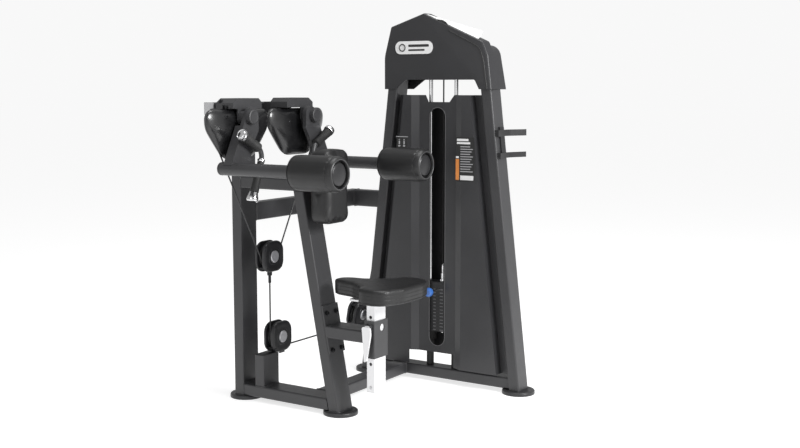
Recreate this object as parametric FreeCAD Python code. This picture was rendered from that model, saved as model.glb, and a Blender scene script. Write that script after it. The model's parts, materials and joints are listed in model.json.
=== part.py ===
"""Selectorised seated lateral-raise machine, modelled in millimetres.

Stations are measured from the foot of the rear upright: +X runs towards the seat, +Y towards the
weight tower and +Z up. save() moves every node so that the origin is the middle of the footprint.
"""
import FreeCAD, Part
import math
import os

V = FreeCAD.Vector
X_DIR, Y_DIR, Z_DIR = V(1, 0, 0), V(0, 1, 0), V(0, 0, 1)

# ---- driving dimensions -------------------------------------------------------------------
CENTRE_X, CENTRE_Y = 440.0, 205.0       # middle of the footprint, from the rear upright's foot
TUBE_T, TUBE_W, WALL = 45.0, 95.0, 3.0  # frame tube: thickness, width and wall
TUBE_R = 6.0                            # outside corner radius of the frame tube
FOOT_R, FOOT_H = 65.0, 15.0             # round floor feet
RAIL_Z = 17.0                           # underside of the base rails
REAR_TOP = 1106.0                       # top of the rear upright, under the crossbar
FRONT_FOOT_X, FRONT_LEAN = 456.0, 0.19  # front upright: foot station and lean per mm of height
BEAM_A_Z = 826.0                        # underside of the beam behind the chest pad
BEAM_B_Z, BEAM_B_H = 692.0, 71.0        # side beam to the tower
BEAM_B_END = 752.0                      # far face of the side beam's corner

PIVOT_Y, PIVOT_Z = 188.0, 1100.0        # arm pivots, either side of the middle plane
SHAFT_R = 12.5
CAM_R = 135.0                           # pitch radius of the arm cams
CAM_FROM, CAM_TO = -108.0, -24.0        # ends of the cam sector, degrees up from +Y
GUARD_Y, GUARD_X0, GUARD_X1 = 172.5, 78.0, 150.0
ARM_Y, ARM_Z, ARM_R = 275.0, 917.0, 23.5
ARM_X0, ARM_X1 = 132.0, 640.0
ROLLER_X0, ROLLER_X1, ROLLER_R = 462.0, 658.0, 62.0

CABLE_R, WHEEL_R = 3.0, 45.0            # cable radius and pitch radius of every pulley
CABLE_X = 122.0                         # plane of the arm cables
FLOAT_Z = 566.0                         # floating pulley at rest
LOW_Z = 202.5                           # height of the cable's run along the base
TURN_TOWER = V(CABLE_X, 628, LOW_Z)     # corner of the cable at the tower's lower pulley
TURN_TOP_1 = V(335, 680, 1400)          # corner over the outer top pulley

TOWER_X, TOWER_Y = 526.5, 620.0         # middle of the weight stack
COLUMN_T, COLUMN_Y0, COLUMN_Y1 = 46.0, 573.5, 656.5
COLUMN_FOOT, COLUMN_LEAN, COLUMN_TOP = 355.0, 0.116, 1245.0
TURN_TOP_2 = V(TOWER_X, TOWER_Y, 1400)  # corner over the inner top pulley
ROD_OFFSET, ROD_R = 59.0, 8.0
STACK_Z0, PLATE_PITCH, PLATE_T = 212.5, 14.0, 13.7
FIXED_PLATES = 12
HEAD_T = 22.0
SHIELD_Y, SHIELD_T = 560.0, 3.0
HOOD_Y0, HOOD_SPLIT, HOOD_Y1, HOOD_WALL = 556.0, 612.0, 697.0, 4.0

POST_X, POST_T, POST_W = 613.5, 36.0, 72.0
POST_Z0, POST_Z1 = 110.0, 446.0
SLEEVE_Z0, SLEEVE_Z1 = 238.0, 374.0
LOCK_Z, HOLE_PITCH = 301.0, 86.0         # pin height and the pitch of the post's holes
SEAT_TOP, SEAT_T = 513.0, 58.0


# ---- helpers ------------------------------------------------------------------------------
def save(name, *shapes):
    """Write one node, moved so that the origin is the middle of the footprint."""
    solids = [s for shape in shapes for s in shape.Solids]
    shape = solids[0] if len(solids) == 1 else Part.makeCompound(solids)
    shape = shape.translated(V(-CENTRE_X, -CENTRE_Y, 0))
    assert shape.isValid(), name
    shape.exportStep("parts/" + name + ".step")


def box(x0, x1, y0, y1, z0, z1):
    return Part.makeBox(x1 - x0, y1 - y0, z1 - z0, V(x0, y0, z0))


def cyl(centre, axis, radius, length):
    """Cylinder whose axis starts at centre."""
    return Part.makeCylinder(radius, length, centre, axis)


def mirror_y(shape):
    """The same piece on the other side of the middle plane."""
    return shape.mirror(V(0, 0, 0), Y_DIR)


def round_edges(shape, radius, direction):
    """Round every straight edge that runs along direction."""
    edges = []
    for edge in shape.Edges:
        if edge.Curve.TypeId == "Part::GeomLine":
            if abs(edge.tangentAt(edge.FirstParameter).dot(direction)) > 0.999:
                edges.append(edge)
    return shape.makeFillet(radius, edges)


def tube(x0, x1, y0, y1, z0, z1, direction):
    """Rectangular hollow section along direction, open at both ends."""
    outer = round_edges(box(x0, x1, y0, y1, z0, z1), TUBE_R, direction)
    inset = [0 if abs(a) > 0.5 else WALL for a in direction]
    inner = box(x0 + inset[0], x1 - inset[0], y0 + inset[1], y1 - inset[1],
                z0 + inset[2], z1 - inset[2])
    return outer.cut(inner)


def corner(before, at, after, radius):
    """Tangent points, centre and axis of an arc that rounds the corner at."""
    d_in, d_out = (at - before).normalize(), (after - at).normalize()
    half = d_in.getAngle(d_out) / 2
    reach = radius * math.tan(half)
    start, end = at - d_in * reach, at + d_out * reach
    centre = at + (d_out - d_in).normalize() * (radius / math.cos(half))
    middle = centre + (at - centre).normalize() * radius
    return start, middle, end, centre, d_in.cross(d_out).normalize()


def rounded_wire(points, radii, closed=True):
    """Straight runs joined by tangent arcs; radius 0 keeps a sharp corner."""
    count = len(points)
    edges, first, last = [], None, None
    for i, (point, radius) in enumerate(zip(points, radii)):
        if radius:
            start, middle, end, _, _ = corner(points[i - 1], point, points[(i + 1) % count], radius)
            arc = Part.Arc(start, middle, end).toShape()
        else:
            start, end, arc = point, point, None
        if last is not None and (start - last).Length > 1e-6:
            edges.append(Part.LineSegment(last, start).toShape())
        if arc:
            edges.append(arc)
        first = first or start
        last = end
    if closed and (first - last).Length > 1e-6:
        edges.append(Part.LineSegment(last, first).toShape())
    return Part.Wire(edges)


def plate(points, radii, depth):
    """Closed rounded outline, extruded by the vector depth."""
    return Part.Face(rounded_wire(points, radii)).extrude(depth)


def pipe(points, radii, radius, bore=0):
    """Round bar or tube along straight runs and tangent arcs."""
    path = rounded_wire(points, radii, closed=False)
    direction = (points[1] - points[0]).normalize()
    sections = []
    for r in (radius, bore):
        if r:
            ring = Part.Wire(Part.makeCircle(r, points[0], direction))
            sections.append(path.makePipeShell([ring], True, True))
    return sections[0].cut(sections[1]) if bore else sections[0]


def revolve(profile, origin, axis):
    """Turn a list of (along, radius) points about axis through origin."""
    side = axis.cross(Z_DIR if abs(axis.z) < 0.9 else X_DIR).normalize()
    points = [origin + axis * a + side * r for a, r in profile]
    face = Part.Face(Part.makePolygon(points + points[:1]))
    return face.revolve(origin, axis, 360)


def round_ends(shape, radius):
    """Round the circular edges of a turned piece."""
    return shape.makeFillet(radius, [e for e in shape.Edges if e.Curve.TypeId == "Part::GeomCircle"])


# ---- pulleys ------------------------------------------------------------------------------
WHEEL_RIM, WHEEL_HALF, AXLE_R = 48.0, 10.0, 6.0
CHEEK_HALF, CHEEK_GAP, CHEEK_T, CHEEK_R = 59.0, 13.0, 12.0, 39.0
HUB_R, HUB_T = 23.0, 4.0


def wheel(centre, axis):
    """Grooved pulley wheel that runs on its axle."""
    bore = AXLE_R + 0.05
    groove = WHEEL_R - CABLE_R - 0.3
    profile = [(-WHEEL_HALF, bore), (-WHEEL_HALF, WHEEL_RIM), (-4.5, WHEEL_RIM), (-2.0, groove),
               (2.0, groove), (4.5, WHEEL_RIM), (WHEEL_HALF, WHEEL_RIM), (WHEEL_HALF, bore)]
    return revolve(profile, centre, axis)


def guard(centre, axis, up, spacers):
    """Two rounded square cheeks, their spacers, the axle and the front hub cap."""
    side = axis.cross(up)
    half = CHEEK_HALF
    cheeks = []
    for start in (CHEEK_GAP, -CHEEK_GAP - CHEEK_T):
        base = centre + axis * start
        outline = [base + side * (a * half) + up * (b * half)
                   for a, b in ((-1, -1), (1, -1), (1, 1), (-1, 1))]
        cheek = plate(outline, [CHEEK_R] * 4, axis * CHEEK_T)
        cheeks.append(cheek)
    reach = half - 16
    for a, b in spacers:
        foot = centre + side * (a * reach) + up * (b * reach) - axis * CHEEK_GAP
        cheeks.append(cyl(foot, axis, 6, 2 * CHEEK_GAP))
    length = 2 * (CHEEK_GAP + CHEEK_T)
    cheeks.append(cyl(centre - axis * (length / 2), axis, AXLE_R, length))
    cheeks.append(cyl(centre + axis * (CHEEK_GAP + CHEEK_T), axis, HUB_R, HUB_T))
    return cheeks[0].multiFuse(cheeks[1:])


# ---- frame --------------------------------------------------------------------------------
def front_upright_block(x_extra=0.0):
    """Leaning front upright as a solid block, for the tube and to trim what meets it."""
    half = TUBE_T / 2 / math.cos(math.atan(FRONT_LEAN))
    points = []
    for z, side in ((FOOT_H, -1), (FOOT_H, 1), (BEAM_A_Z, 1), (BEAM_A_Z, -1)):
        x = FRONT_FOOT_X - FRONT_LEAN * z + side * half + (x_extra if side > 0 else 0)
        points.append(V(x, -TUBE_W / 2, z))
    return plate(points, [0] * 4, Y_DIR * TUBE_W)


def hollow_leaning(block_points, y0, y1):
    """Hollow leaning tube from its side outline at y0 to y1."""
    outer = plate(block_points, [0] * 4, V(0, y1 - y0, 0))
    lean = (block_points[2] - block_points[1]).normalize()
    outer = round_edges(outer, TUBE_R, lean)
    (a, b, c, d) = block_points
    inset = V(WALL, WALL, 0)
    inner = [a + inset, b + V(-WALL, WALL, 0), c + V(-WALL, WALL, 0), d + inset]
    return outer.cut(plate(inner, [0] * 4, V(0, y1 - y0 - 2 * WALL, 0)))


def build_frame():
    half_t, half_w = TUBE_T / 2, TUBE_W / 2
    save("rear_upright", tube(-half_t, half_t, -half_w, half_w, FOOT_H, REAR_TOP, Z_DIR))

    half = half_t / math.cos(math.atan(FRONT_LEAN))
    low, high = (FRONT_FOOT_X - FRONT_LEAN * z for z in (FOOT_H, BEAM_A_Z))
    outline = [V(low - half, -half_w, FOOT_H), V(low + half, -half_w, FOOT_H),
               V(high + half, -half_w, BEAM_A_Z), V(high - half, -half_w, BEAM_A_Z)]
    save("front_upright", hollow_leaning(outline, -half_w, half_w))
    trim = front_upright_block()

    rail_top = RAIL_Z + TUBE_T
    rail = tube(half_t, FRONT_FOOT_X, -half_w, half_w, RAIL_Z, rail_top, X_DIR)
    post_x0, post_top = 80.0, 184.0
    link = tube(305, 372, half_w, TOWER_Y - 35, RAIL_Z, rail_top, Y_DIR)
    post = tube(post_x0, post_x0 + TUBE_T, -half_w, half_w, rail_top, post_top, Z_DIR)
    save("base_rails_front", rail.cut(trim), link, post)
    save("base_rail_tower", tube(tower_side(-1, RAIL_Z + 12, 1) + 2, tower_side(1, RAIL_Z + 12, -1) - 2,
                                 TOWER_Y - 35, TOWER_Y + 35, RAIL_Z, rail_top, X_DIR).cut(
        Part.makeCompound([column_block(-1), column_block(1)])))

    save("upper_beam_front", tube(half_t, 366, -half_w, half_w, BEAM_A_Z, BEAM_A_Z + TUBE_T, X_DIR))
    save("upper_beam_side", tube(-half_t, half_t, half_w, BEAM_B_END, BEAM_B_Z, BEAM_B_Z + BEAM_B_H,
                                 Y_DIR))
    back = tube(half_t, 300, BEAM_B_END - TUBE_T, BEAM_B_END, BEAM_B_Z, BEAM_B_Z + BEAM_B_H, X_DIR)
    spacer = box(240, 284, COLUMN_Y1, BEAM_B_END - TUBE_T, BEAM_B_Z + 8, BEAM_B_Z + BEAM_B_H - 8)
    save("upper_beam_back", back, spacer)

    bar = tube(-half_t, half_t, -185, 185, REAR_TOP, REAR_TOP + TUBE_T, Y_DIR)
    caps = [box(-half_t, half_t, y, y + 5, REAR_TOP, REAR_TOP + TUBE_T) for y in (-190, 185)]
    save("top_crossbar", bar, *caps)

    feet = []
    columns = [(TOWER_X + s * (COLUMN_FOOT - COLUMN_LEAN * FOOT_H), (COLUMN_Y0 + COLUMN_Y1) / 2)
               for s in (-1, 1)]
    for x, y in [(0, 0), (FRONT_FOOT_X - 3, 0)] + columns:
        disc = cyl(V(x, y, 0), Z_DIR, FOOT_R, FOOT_H)
        feet.append(round_ends(disc, 4))
    save("floor_feet", *feet)


# ---- weight tower -------------------------------------------------------------------------
def tower_side(side, z, face):
    """X of a column's face: side -1 left or 1 right, face -1 towards -X or 1 towards +X."""
    return TOWER_X + side * (COLUMN_FOOT - COLUMN_LEAN * z) + face * COLUMN_T / 2


def column_outline(side):
    return [V(tower_side(side, z, face), COLUMN_Y0, z)
            for z, face in ((FOOT_H, -1), (FOOT_H, 1), (COLUMN_TOP, 1), (COLUMN_TOP, -1))]


def column_block(side):
    return plate(column_outline(side), [0] * 4, V(0, COLUMN_Y1 - COLUMN_Y0, 0))


def shield_half(side):
    """One front shield: flange on the column, step forward, flat front, step back to the middle."""
    z0, z1 = 72.0, 1176.0
    front, recess, flange = SHIELD_Y, SHIELD_Y + 13, SHIELD_Y + 44
    wires = []
    for z in (z0, z1):
        edge = tower_side(side, z, -side) - side
        fold = edge - side * 41
        middle = TOWER_X + side * 0.25
        outer = [(edge, flange), (fold, flange), (fold, front), (TOWER_X + side * 116.5, front),
                 (TOWER_X + side * 85.5, recess), (middle, recess)]
        inner = [(middle, recess), (TOWER_X + side * 86.5, recess), (TOWER_X + side * 117.5, front),
                 (fold - side * SHIELD_T, front), (fold - side * SHIELD_T, flange), (edge, flange)]
        points = [V(x, y, z) for x, y in outer] + [V(x, y + SHIELD_T, z) for x, y in inner]
        wires.append(Part.makePolygon(points + points[:1]))
    body = Part.makeLoft(wires, True, True)
    slot = plate([V(TOWER_X - 36, 500, 156), V(TOWER_X + 36, 500, 156),
                  V(TOWER_X + 36, 500, 1126), V(TOWER_X - 36, 500, 1126)], [35.9] * 4, Y_DIR * 120)
    dip = plate([V(484, 500, 1147), V(580, 500, 1147), V(606, 500, 1180), V(606, 500, 1200),
                 V(468, 500, 1200), V(468, 500, 1180)], [0] * 6, Y_DIR * 120)
    foot_gap = box(401, 605, 500, 620, 60, 128)
    return body.cut(Part.makeCompound([slot, dip, foot_gap]))


def hood_outline(inset, y, shoulder):
    """Side-to-side outline of the hood: off-centre ridge, long slope to the seat side."""
    left = [V(281 + inset, y, 1199), V(281 + inset, y, 1360), V(313 + inset, y, 1449 - inset)]
    if shoulder:
        right = [V(410, y, 1496 - inset), V(653, y, 1406 - inset), V(667, y, 1382 - inset),
                 V(746 - inset, y, 1374 - inset), V(777 - inset, y, 1199)]
        radii = [10, 10, 12, 48, 0]
    else:
        right = [V(470, y, 1500 - inset), V(736, y, 1383.5 - inset), V(760 - inset, y, 1330),
                 V(776 - inset, y, 1199)]
        radii = [10, 14, 60, 0]
    return left + right, [0, 120, 6] + radii


def hood_shell(inset, y0, y1, front, shoulder):
    outline, radii = hood_outline(inset, y0, shoulder)
    body = plate(outline, radii, V(0, y1 - y0, 0))
    inner, inner_radii = hood_outline(inset + HOOD_WALL, y0, shoulder)
    inner = [p - Z_DIR * (2 if p.z > 1300 else 40) for p in inner]
    cavity = plate(inner, [max(0, r - HOOD_WALL) for r in inner_radii], V(0, y1 - y0 - HOOD_WALL, 0))
    cavity.translate(V(0, HOOD_WALL if front else 0, 0))
    return body.cut(cavity)


def build_tower():
    for side, name in ((-1, "left"), (1, "right")):
        outline = column_outline(side)
        save("tower_column_" + name, hollow_leaning(outline, COLUMN_Y0, COLUMN_Y1))
        save("shield_" + name, shield_half(side))

    z0, z1 = 130.0, 1147.0
    rear = [V(tower_side(-1, z0, 1) + 1, COLUMN_Y1 - 3, z0), V(tower_side(1, z0, -1) - 1, COLUMN_Y1 - 3, z0),
            V(tower_side(1, z1, -1) - 1, COLUMN_Y1 - 3, z1), V(tower_side(-1, z1, 1) + 1, COLUMN_Y1 - 3, z1)]
    save("shield_rear", plate(rear, [0] * 4, Y_DIR * 3))

    front = hood_shell(0, HOOD_Y0, HOOD_SPLIT, True, False)
    mouth = plate([V(335, 500, 1190), V(722, 500, 1190), V(702, 500, 1237), V(390, 500, 1237)],
                  [0, 0, 12, 12], Y_DIR * 90)
    columns = Part.makeCompound([column_block(-1), column_block(1)])
    save("hood_front", front.cut(mouth).cut(columns))
    save("hood_rear", hood_shell(3, HOOD_SPLIT, HOOD_Y1, False, True).cut(columns))

    rail_top = RAIL_Z + TUBE_T
    rod_top = COLUMN_TOP
    sleeve_top = STACK_Z0 - 40
    rods, bumpers = [], []
    for side in (-1, 1):
        foot = V(TOWER_X + side * ROD_OFFSET, TOWER_Y, rail_top)
        rod = cyl(foot, Z_DIR, ROD_R, rod_top - rail_top)
        rods.append(rod)
        bumper = cyl(V(foot.x, foot.y, sleeve_top), Z_DIR, 26, STACK_Z0 - sleeve_top)
        bumper = bumper.fuse(cyl(foot, Z_DIR, 15, sleeve_top - rail_top))
        bumpers.append(bumper.cut(rod))
    save("guide_rods", *rods)
    save("stack_bumpers", *bumpers)

    holes = stack_holes()
    plates = []
    for i in range(FIXED_PLATES):
        z = STACK_Z0 + i * PLATE_PITCH
        plates.append(weight_plate(z, PLATE_T).cut(holes))
    save("weight_plates", *plates)

    top_bar = box(295, 748, COLUMN_Y0 + 8, COLUMN_Y1 - 2, COLUMN_TOP, COLUMN_TOP + 40)
    top_bar = top_bar.cut(cyl(V(TOWER_X, TOWER_Y, 1200), Z_DIR, 15, 120))
    brackets = []
    for _, _, _, centre, axis in (top_corner_1(), top_corner_2()):
        foot = COLUMN_TOP + 40
        level = V(axis.x, axis.y, 0).normalize()
        across = level.cross(Z_DIR)
        for side in (-1, 1):
            face = centre + level * (side * 16.5)
            low = V(face.x, face.y, foot)
            outline = [low - across * 24, low + across * 24, face + across * 14 + Z_DIR * 14,
                       face - across * 14 + Z_DIR * 14]
            brackets.append(plate(outline, [0, 0, 10, 10], level * (side * 4)))
        brackets.append(cyl(centre - axis * 21, axis, AXLE_R, 42))
    save("top_pulley_bracket", top_bar.multiFuse(brackets))
    save("accessory_holder", accessory_holder())


def accessory_holder():
    """Plate on the right column with two flat arms that run back and curve outwards."""
    near, far, tip_x, tip_y, strip = COLUMN_Y0 + 2, COLUMN_Y1 + 12, 832.0, 745.0, 4.0
    z0, z1 = 935.0, 1052.0
    plate_y = 607.0
    faces = [(tower_side(1, z0, 1), z0), (tower_side(1, z1, 1), z1)]
    outline = [V(x, plate_y, z) for x, z in faces] + [V(x + 6, plate_y, z) for x, z in faces[::-1]]
    pieces = [plate(outline, [0] * 4, Y_DIR * 35)]
    for low, high in ((931, 952), (1016, 1041)):
        x = tower_side(1, low, 1) + 2
        band = [V(x, near, low), V(x + strip, near, low), V(x + strip, far, low),
                V(tip_x + strip, tip_y, low), V(tip_x, tip_y, low), V(x, far, low)]
        pieces.append(plate(band, [0, 0, 60, 0, 0, 60], Z_DIR * (high - low)))
        pieces.append(box(x - 6, x + 12, near, plate_y, low, high))
    return pieces[0].multiFuse(pieces[1:]).cut(column_block(1))


def weight_plate(z, thickness):
    body = box(TOWER_X - 95, TOWER_X + 95, 585, 650, z, z + thickness)
    return round_edges(body, 8, Z_DIR)


def stack_holes():
    holes = [cyl(V(TOWER_X + side * ROD_OFFSET, TOWER_Y, 100), Z_DIR, ROD_R + 0.6, 500)
             for side in (-1, 1)]
    holes.append(cyl(V(TOWER_X, TOWER_Y, 100), Z_DIR, 12.6, 500))
    return Part.makeCompound(holes)


def build_weights():
    z = STACK_Z0 + FIXED_PLATES * PLATE_PITCH
    pin_z = z + PLATE_T / 2
    pin_hole = cyl(V(TOWER_X, 560, pin_z), Y_DIR, 5.3, 80)
    lifted = weight_plate(z, PLATE_T).cut(stack_holes()).cut(pin_hole)
    head_z = z + PLATE_PITCH
    head = weight_plate(head_z, HEAD_T).cut(stack_holes())
    save("lifted_plates", lifted, head)
    stem = cyl(V(TOWER_X, TOWER_Y, STACK_Z0 - 8), Z_DIR, 12, head_z + HEAD_T - STACK_Z0 + 8)
    socket = cyl(V(TOWER_X, TOWER_Y, head_z + HEAD_T), Z_DIR, 17, 10).fuse(
        cyl(V(TOWER_X, TOWER_Y, head_z + HEAD_T), Z_DIR, 10, 34))
    save("selector_stem", stem.fuse(socket).cut(pin_hole))
    save("selector_pin", cyl(V(TOWER_X, 520, pin_z), Y_DIR, 5, 114))
    knob = [(0, 0), (0, 12), (5, 17.5), (14, 18.5), (22, 16), (26, 10), (30, 8), (30, 0)]
    body = revolve(knob, V(TOWER_X, 496, pin_z), Y_DIR)
    save("selector_knob", body.cut(cyl(V(TOWER_X, 520, pin_z), Y_DIR, 5, 40)))
    return head_z + HEAD_T + 34


# ---- cables and fixed pulleys -------------------------------------------------------------
def top_corner_1():
    return corner(TURN_TOWER, TURN_TOP_1, TURN_TOP_2, WHEEL_R)


def top_corner_2():
    return corner(TURN_TOP_1, TURN_TOP_2, V(TOWER_X, TOWER_Y, 500), WHEEL_R)


def build_cables(stem_top):
    clevis_z = FLOAT_Z - 76
    low = V(CABLE_X, 0, LOW_Z)
    start = V(CABLE_X, 0, clevis_z)
    low_corner = corner(start, low, TURN_TOWER, WHEEL_R)
    tower_corner = corner(low, TURN_TOWER, TURN_TOP_1, WHEEL_R)
    drop = V(TOWER_X, TOWER_Y, stem_top)
    inner_corner = top_corner_2()

    save("cable_stack_front", cyl(start, -Z_DIR, CABLE_R, (start - low_corner[0]).Length))
    route = [low_corner[0], low, TURN_TOWER, TURN_TOP_1, TURN_TOP_2, inner_corner[2]]
    save("cable_stack_fixed", pipe(route, [0, WHEEL_R, WHEEL_R, WHEEL_R, WHEEL_R, 0], CABLE_R))
    save("cable_stack_drop", cyl(drop, Z_DIR, CABLE_R, (inner_corner[2] - drop).Length))

    # arm cable: tangent to both cams and under the floating pulley
    rise, out = PIVOT_Z - FLOAT_Z, PIVOT_Y
    angle = math.atan2(out, rise) + math.asin((CAM_R - WHEEL_R) / math.hypot(rise, out))
    side = V(0, -math.cos(angle), -math.sin(angle))
    on_wheel = V(CABLE_X, 0, FLOAT_Z) + side * WHEEL_R
    on_cam = V(CABLE_X, -PIVOT_Y, PIVOT_Z) + side * CAM_R
    mirror = [V(p.x, -p.y, p.z) for p in (on_wheel, on_cam)]
    bottom = V(CABLE_X, 0, FLOAT_Z - WHEEL_R)
    path = Part.Wire([Part.LineSegment(on_cam, on_wheel).toShape(),
                      Part.Arc(on_wheel, bottom, mirror[0]).toShape(),
                      Part.LineSegment(mirror[0], mirror[1]).toShape()])
    ring = Part.Wire(Part.makeCircle(CABLE_R, on_cam, (on_wheel - on_cam).normalize()))
    save("cable_arms", path.makePipeShell([ring], True, True))

    low_guard = guard(low_corner[3], X_DIR, Z_DIR, ((-1, 1), (1, -1)))
    lean = tower_corner[4] if tower_corner[4].x > 0 else -tower_corner[4]
    upright = (Z_DIR - lean * lean.z).normalize()
    tower_guard = guard(tower_corner[3], lean, upright, ((1, 1), (-1, -1)))
    stay = box(130, 200, 570, 610, 230, 262)
    stay = stay.cut(column_block(-1)).cut(cyl(tower_corner[3] - lean * 24.5, lean, 90, 120))
    save("pulley_guards", low_guard, tower_guard, stay)

    save("wheel_lower", wheel(low_corner[3], low_corner[4]))
    save("wheel_tower", wheel(tower_corner[3], tower_corner[4]))
    save("wheel_top_outer", wheel(top_corner_1()[3], top_corner_1()[4]))
    save("wheel_top_inner", wheel(top_corner_2()[3], top_corner_2()[4]))

    centre = V(CABLE_X, 0, FLOAT_Z)
    save("wheel_float", wheel(centre, X_DIR))
    body = guard(centre, X_DIR, Z_DIR, ((1, -1), (-1, -1)))
    fork = cyl(V(CABLE_X, 0, clevis_z), Z_DIR, 9, 22)
    yoke = box(CABLE_X - CHEEK_GAP, CABLE_X + CHEEK_GAP, -9, 9, FLOAT_Z - 59, FLOAT_Z - 50)
    save("float_guard", body.multiFuse([fork, yoke]))
    for label, data in (("lower", low_corner), ("tower", tower_corner),
                        ("top outer", top_corner_1()), ("top inner", top_corner_2())):
        print(label, "centre", data[3] - V(CENTRE_X, CENTRE_Y, 0), "axis", data[4])
    length = on_cam.distanceToPoint(on_wheel) * 2 + WHEEL_R * (math.pi - 2 * angle)
    print("arm cable seen", round(length), "stack cable fixed run", round(
        rounded_wire(route, [0] + [WHEEL_R] * 4 + [0], closed=False).Length))


# ---- arms ---------------------------------------------------------------------------------
def guard_outline(x, inset=0.0):
    """Rounded shield outline of a cam guard, at station x."""
    points = [(-173, 1127), (-169, 1060), (-80, 949), (80, 949), (169, 1060), (173, 1127)]
    radii = [34, 70, 62, 62, 70, 34]
    wire = rounded_wire([V(x, GUARD_Y + y, z) for y, z in points], radii)
    return wire.makeOffset2D(-inset) if inset else wire


def build_cam_guard():
    depth = GUARD_X1 - GUARD_X0
    outer = Part.Face(guard_outline(GUARD_X0)).extrude(X_DIR * depth)
    outer = outer.makeFillet(30, face_edges(outer, (GUARD_X0, GUARD_X1)))
    skin = 3.0
    inner = Part.Face(guard_outline(GUARD_X0 + skin, skin)).extrude(X_DIR * (depth - 2 * skin))
    inner = inner.makeFillet(27, face_edges(inner, (GUARD_X0 + skin, GUARD_X1 - skin)))
    shaft = cyl(V(0, PIVOT_Y, PIVOT_Z), X_DIR, 22, 300)
    slot = plate([V(CABLE_X - 7, 225, 930), V(CABLE_X - 7, 262, 930), V(CABLE_X - 7, 345, 1075),
                  V(CABLE_X - 7, 290, 1075)], [0] * 4, X_DIR * 14)
    cam_exit = box(CABLE_X - 12, CABLE_X + 12, PIVOT_Y + 18, PIVOT_Y + 146, 1110, 1130)
    return outer.cut(inner).cut(shaft).cut(slot).cut(cam_exit)


def face_edges(shape, stations):
    """Edges that lie wholly in one of the planes x = station."""
    edges = []
    for edge in shape.Edges:
        bounds = edge.BoundBox
        if bounds.XLength < 1e-3 and min(abs(bounds.XMin - s) for s in stations) < 1e-3:
            edges.append(edge)
    return edges


def build_pivot_bracket():
    """Chamfered block over the guard, with its web to the crossbar, housing and front hanger."""
    x0, x1 = 76.0, 157.0
    profile = [(75, 1130), (236, 1130), (236, 1150), (210, 1167), (92, 1167), (75, 1152)]
    block = plate([V(x0, y, z) for y, z in profile], [0, 0, 4, 6, 6, 4], X_DIR * (x1 - x0))
    pocket = [V(CABLE_X - 14, y, z) for y, z in ((212, 1110), (240, 1110), (240, 1146.5), (212, 1122.2))]
    block = block.cut(plate(pocket, [0] * 4, X_DIR * 28))
    hanger = plate([V(x1 - 6, PIVOT_Y - 26, 1074), V(x1 - 6, PIVOT_Y + 20, 1074),
                    V(x1 - 6, PIVOT_Y + 20, 1140), V(x1 - 6, PIVOT_Y - 26, 1140)], [20, 20, 0, 0],
                   X_DIR * 6)
    back = TUBE_T / 2
    housing = cyl(V(back, PIVOT_Y, PIVOT_Z), X_DIR, 30, 50)
    web = box(back, x0 + 1, 100, 160, 1112, 1151)
    shelf = box(back, back + 50, 150, PIVOT_Y + 20, 1106, 1128)
    body = block.multiFuse([hanger, housing, web, shelf])
    return body.cut(cyl(V(0, PIVOT_Y, PIVOT_Z), X_DIR, SHAFT_R + 0.05, 300))


def build_cam():
    """Cam sector with a grooved rim, wide enough for the arm's travel, on the pivot shaft."""
    thickness, reach = 18.0, 180.0
    back = CABLE_X - thickness / 2
    disc = cyl(V(back, PIVOT_Y, PIVOT_Z), X_DIR, CAM_R + 3, thickness)
    spokes = [math.radians(a) for a in (CAM_FROM, (CAM_FROM + CAM_TO) / 2, CAM_TO)]
    rim = [V(back, PIVOT_Y + reach * math.cos(a), PIVOT_Z + reach * math.sin(a)) for a in spokes]
    sector = plate([V(back, PIVOT_Y, PIVOT_Z)] + rim, [0] * 4, X_DIR * thickness)
    groove = revolve([(-5.0, CAM_R + 5), (-2.2, CAM_R - 3.6), (2.2, CAM_R - 3.6), (5.0, CAM_R + 5)],
                     V(CABLE_X, PIVOT_Y, PIVOT_Z), X_DIR)
    cam = disc.common(sector).cut(groove)
    for share in (0.2, 0.5, 0.8):
        a = math.radians(CAM_FROM + (CAM_TO - CAM_FROM) * share)
        at = V(back - 1, PIVOT_Y + 84 * math.cos(a), PIVOT_Z + 84 * math.sin(a))
        cam = cam.cut(cyl(at, X_DIR, 15, thickness + 2))
    collar = cyl(V(CABLE_X - 22, PIVOT_Y, PIVOT_Z), X_DIR, 20, 40)
    shaft = cyl(V(26, PIVOT_Y, PIVOT_Z), X_DIR, SHAFT_R, 184)
    return cam.multiFuse([collar, shaft])


def build_lever():
    """Folded lever from the pivot boss down to a foot on the arm tube."""
    back, front, face = 158.0, 180.0, 196.0
    top, foot = 1136.0, 932.0
    edge_top, edge_foot, fold = 4.0, 107.0, 7.8

    def edge(z):
        return edge_top + (edge_foot - edge_top) * (top - z) / (top - foot)

    def at(x, offset, z):
        return V(x, PIVOT_Y + offset, z)

    outline = [(-44, top), (-48, 1052), (-5, 985), (-2, foot), (edge(foot), foot), (edge(top), top)]
    web = plate([at(front, y, z) for y, z in outline], [30, 30, 30, 0, 0, 30], X_DIR * (face - front))
    flange = [(edge(1070) - fold, 1070), (edge(1070), 1070), (edge(foot), foot), (2, foot),
              (2, foot + 12), (edge(foot + 12) - fold, foot + 12)]
    flange = plate([at(back, y, z) for y, z in flange], [0] * 6, X_DIR * (front - back))
    hub = cyl(at(back, 0, PIVOT_Z), X_DIR, 22, front - back)
    cap = cyl(at(face, 0, PIVOT_Z), X_DIR, 26, 18)
    cap = cap.makeFillet(3, face_edges(cap, (face + 18,)))
    body = web.multiFuse([flange, hub, cap])
    shaft = cyl(V(26, PIVOT_Y, PIVOT_Z), X_DIR, SHAFT_R, 184)
    tube_clear = cyl(V(0, ARM_Y, ARM_Z), X_DIR, ARM_R, 800)
    return body.cut(shaft).cut(tube_clear)


HANDLE_X, CAP_R = 219.0, 21.5
HANDLE_TOP, HANDLE_BEND, HANDLE_TURN, HANDLE_END = ((262, 1040), (163, 983), (152, 958), (210, 806))


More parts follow.
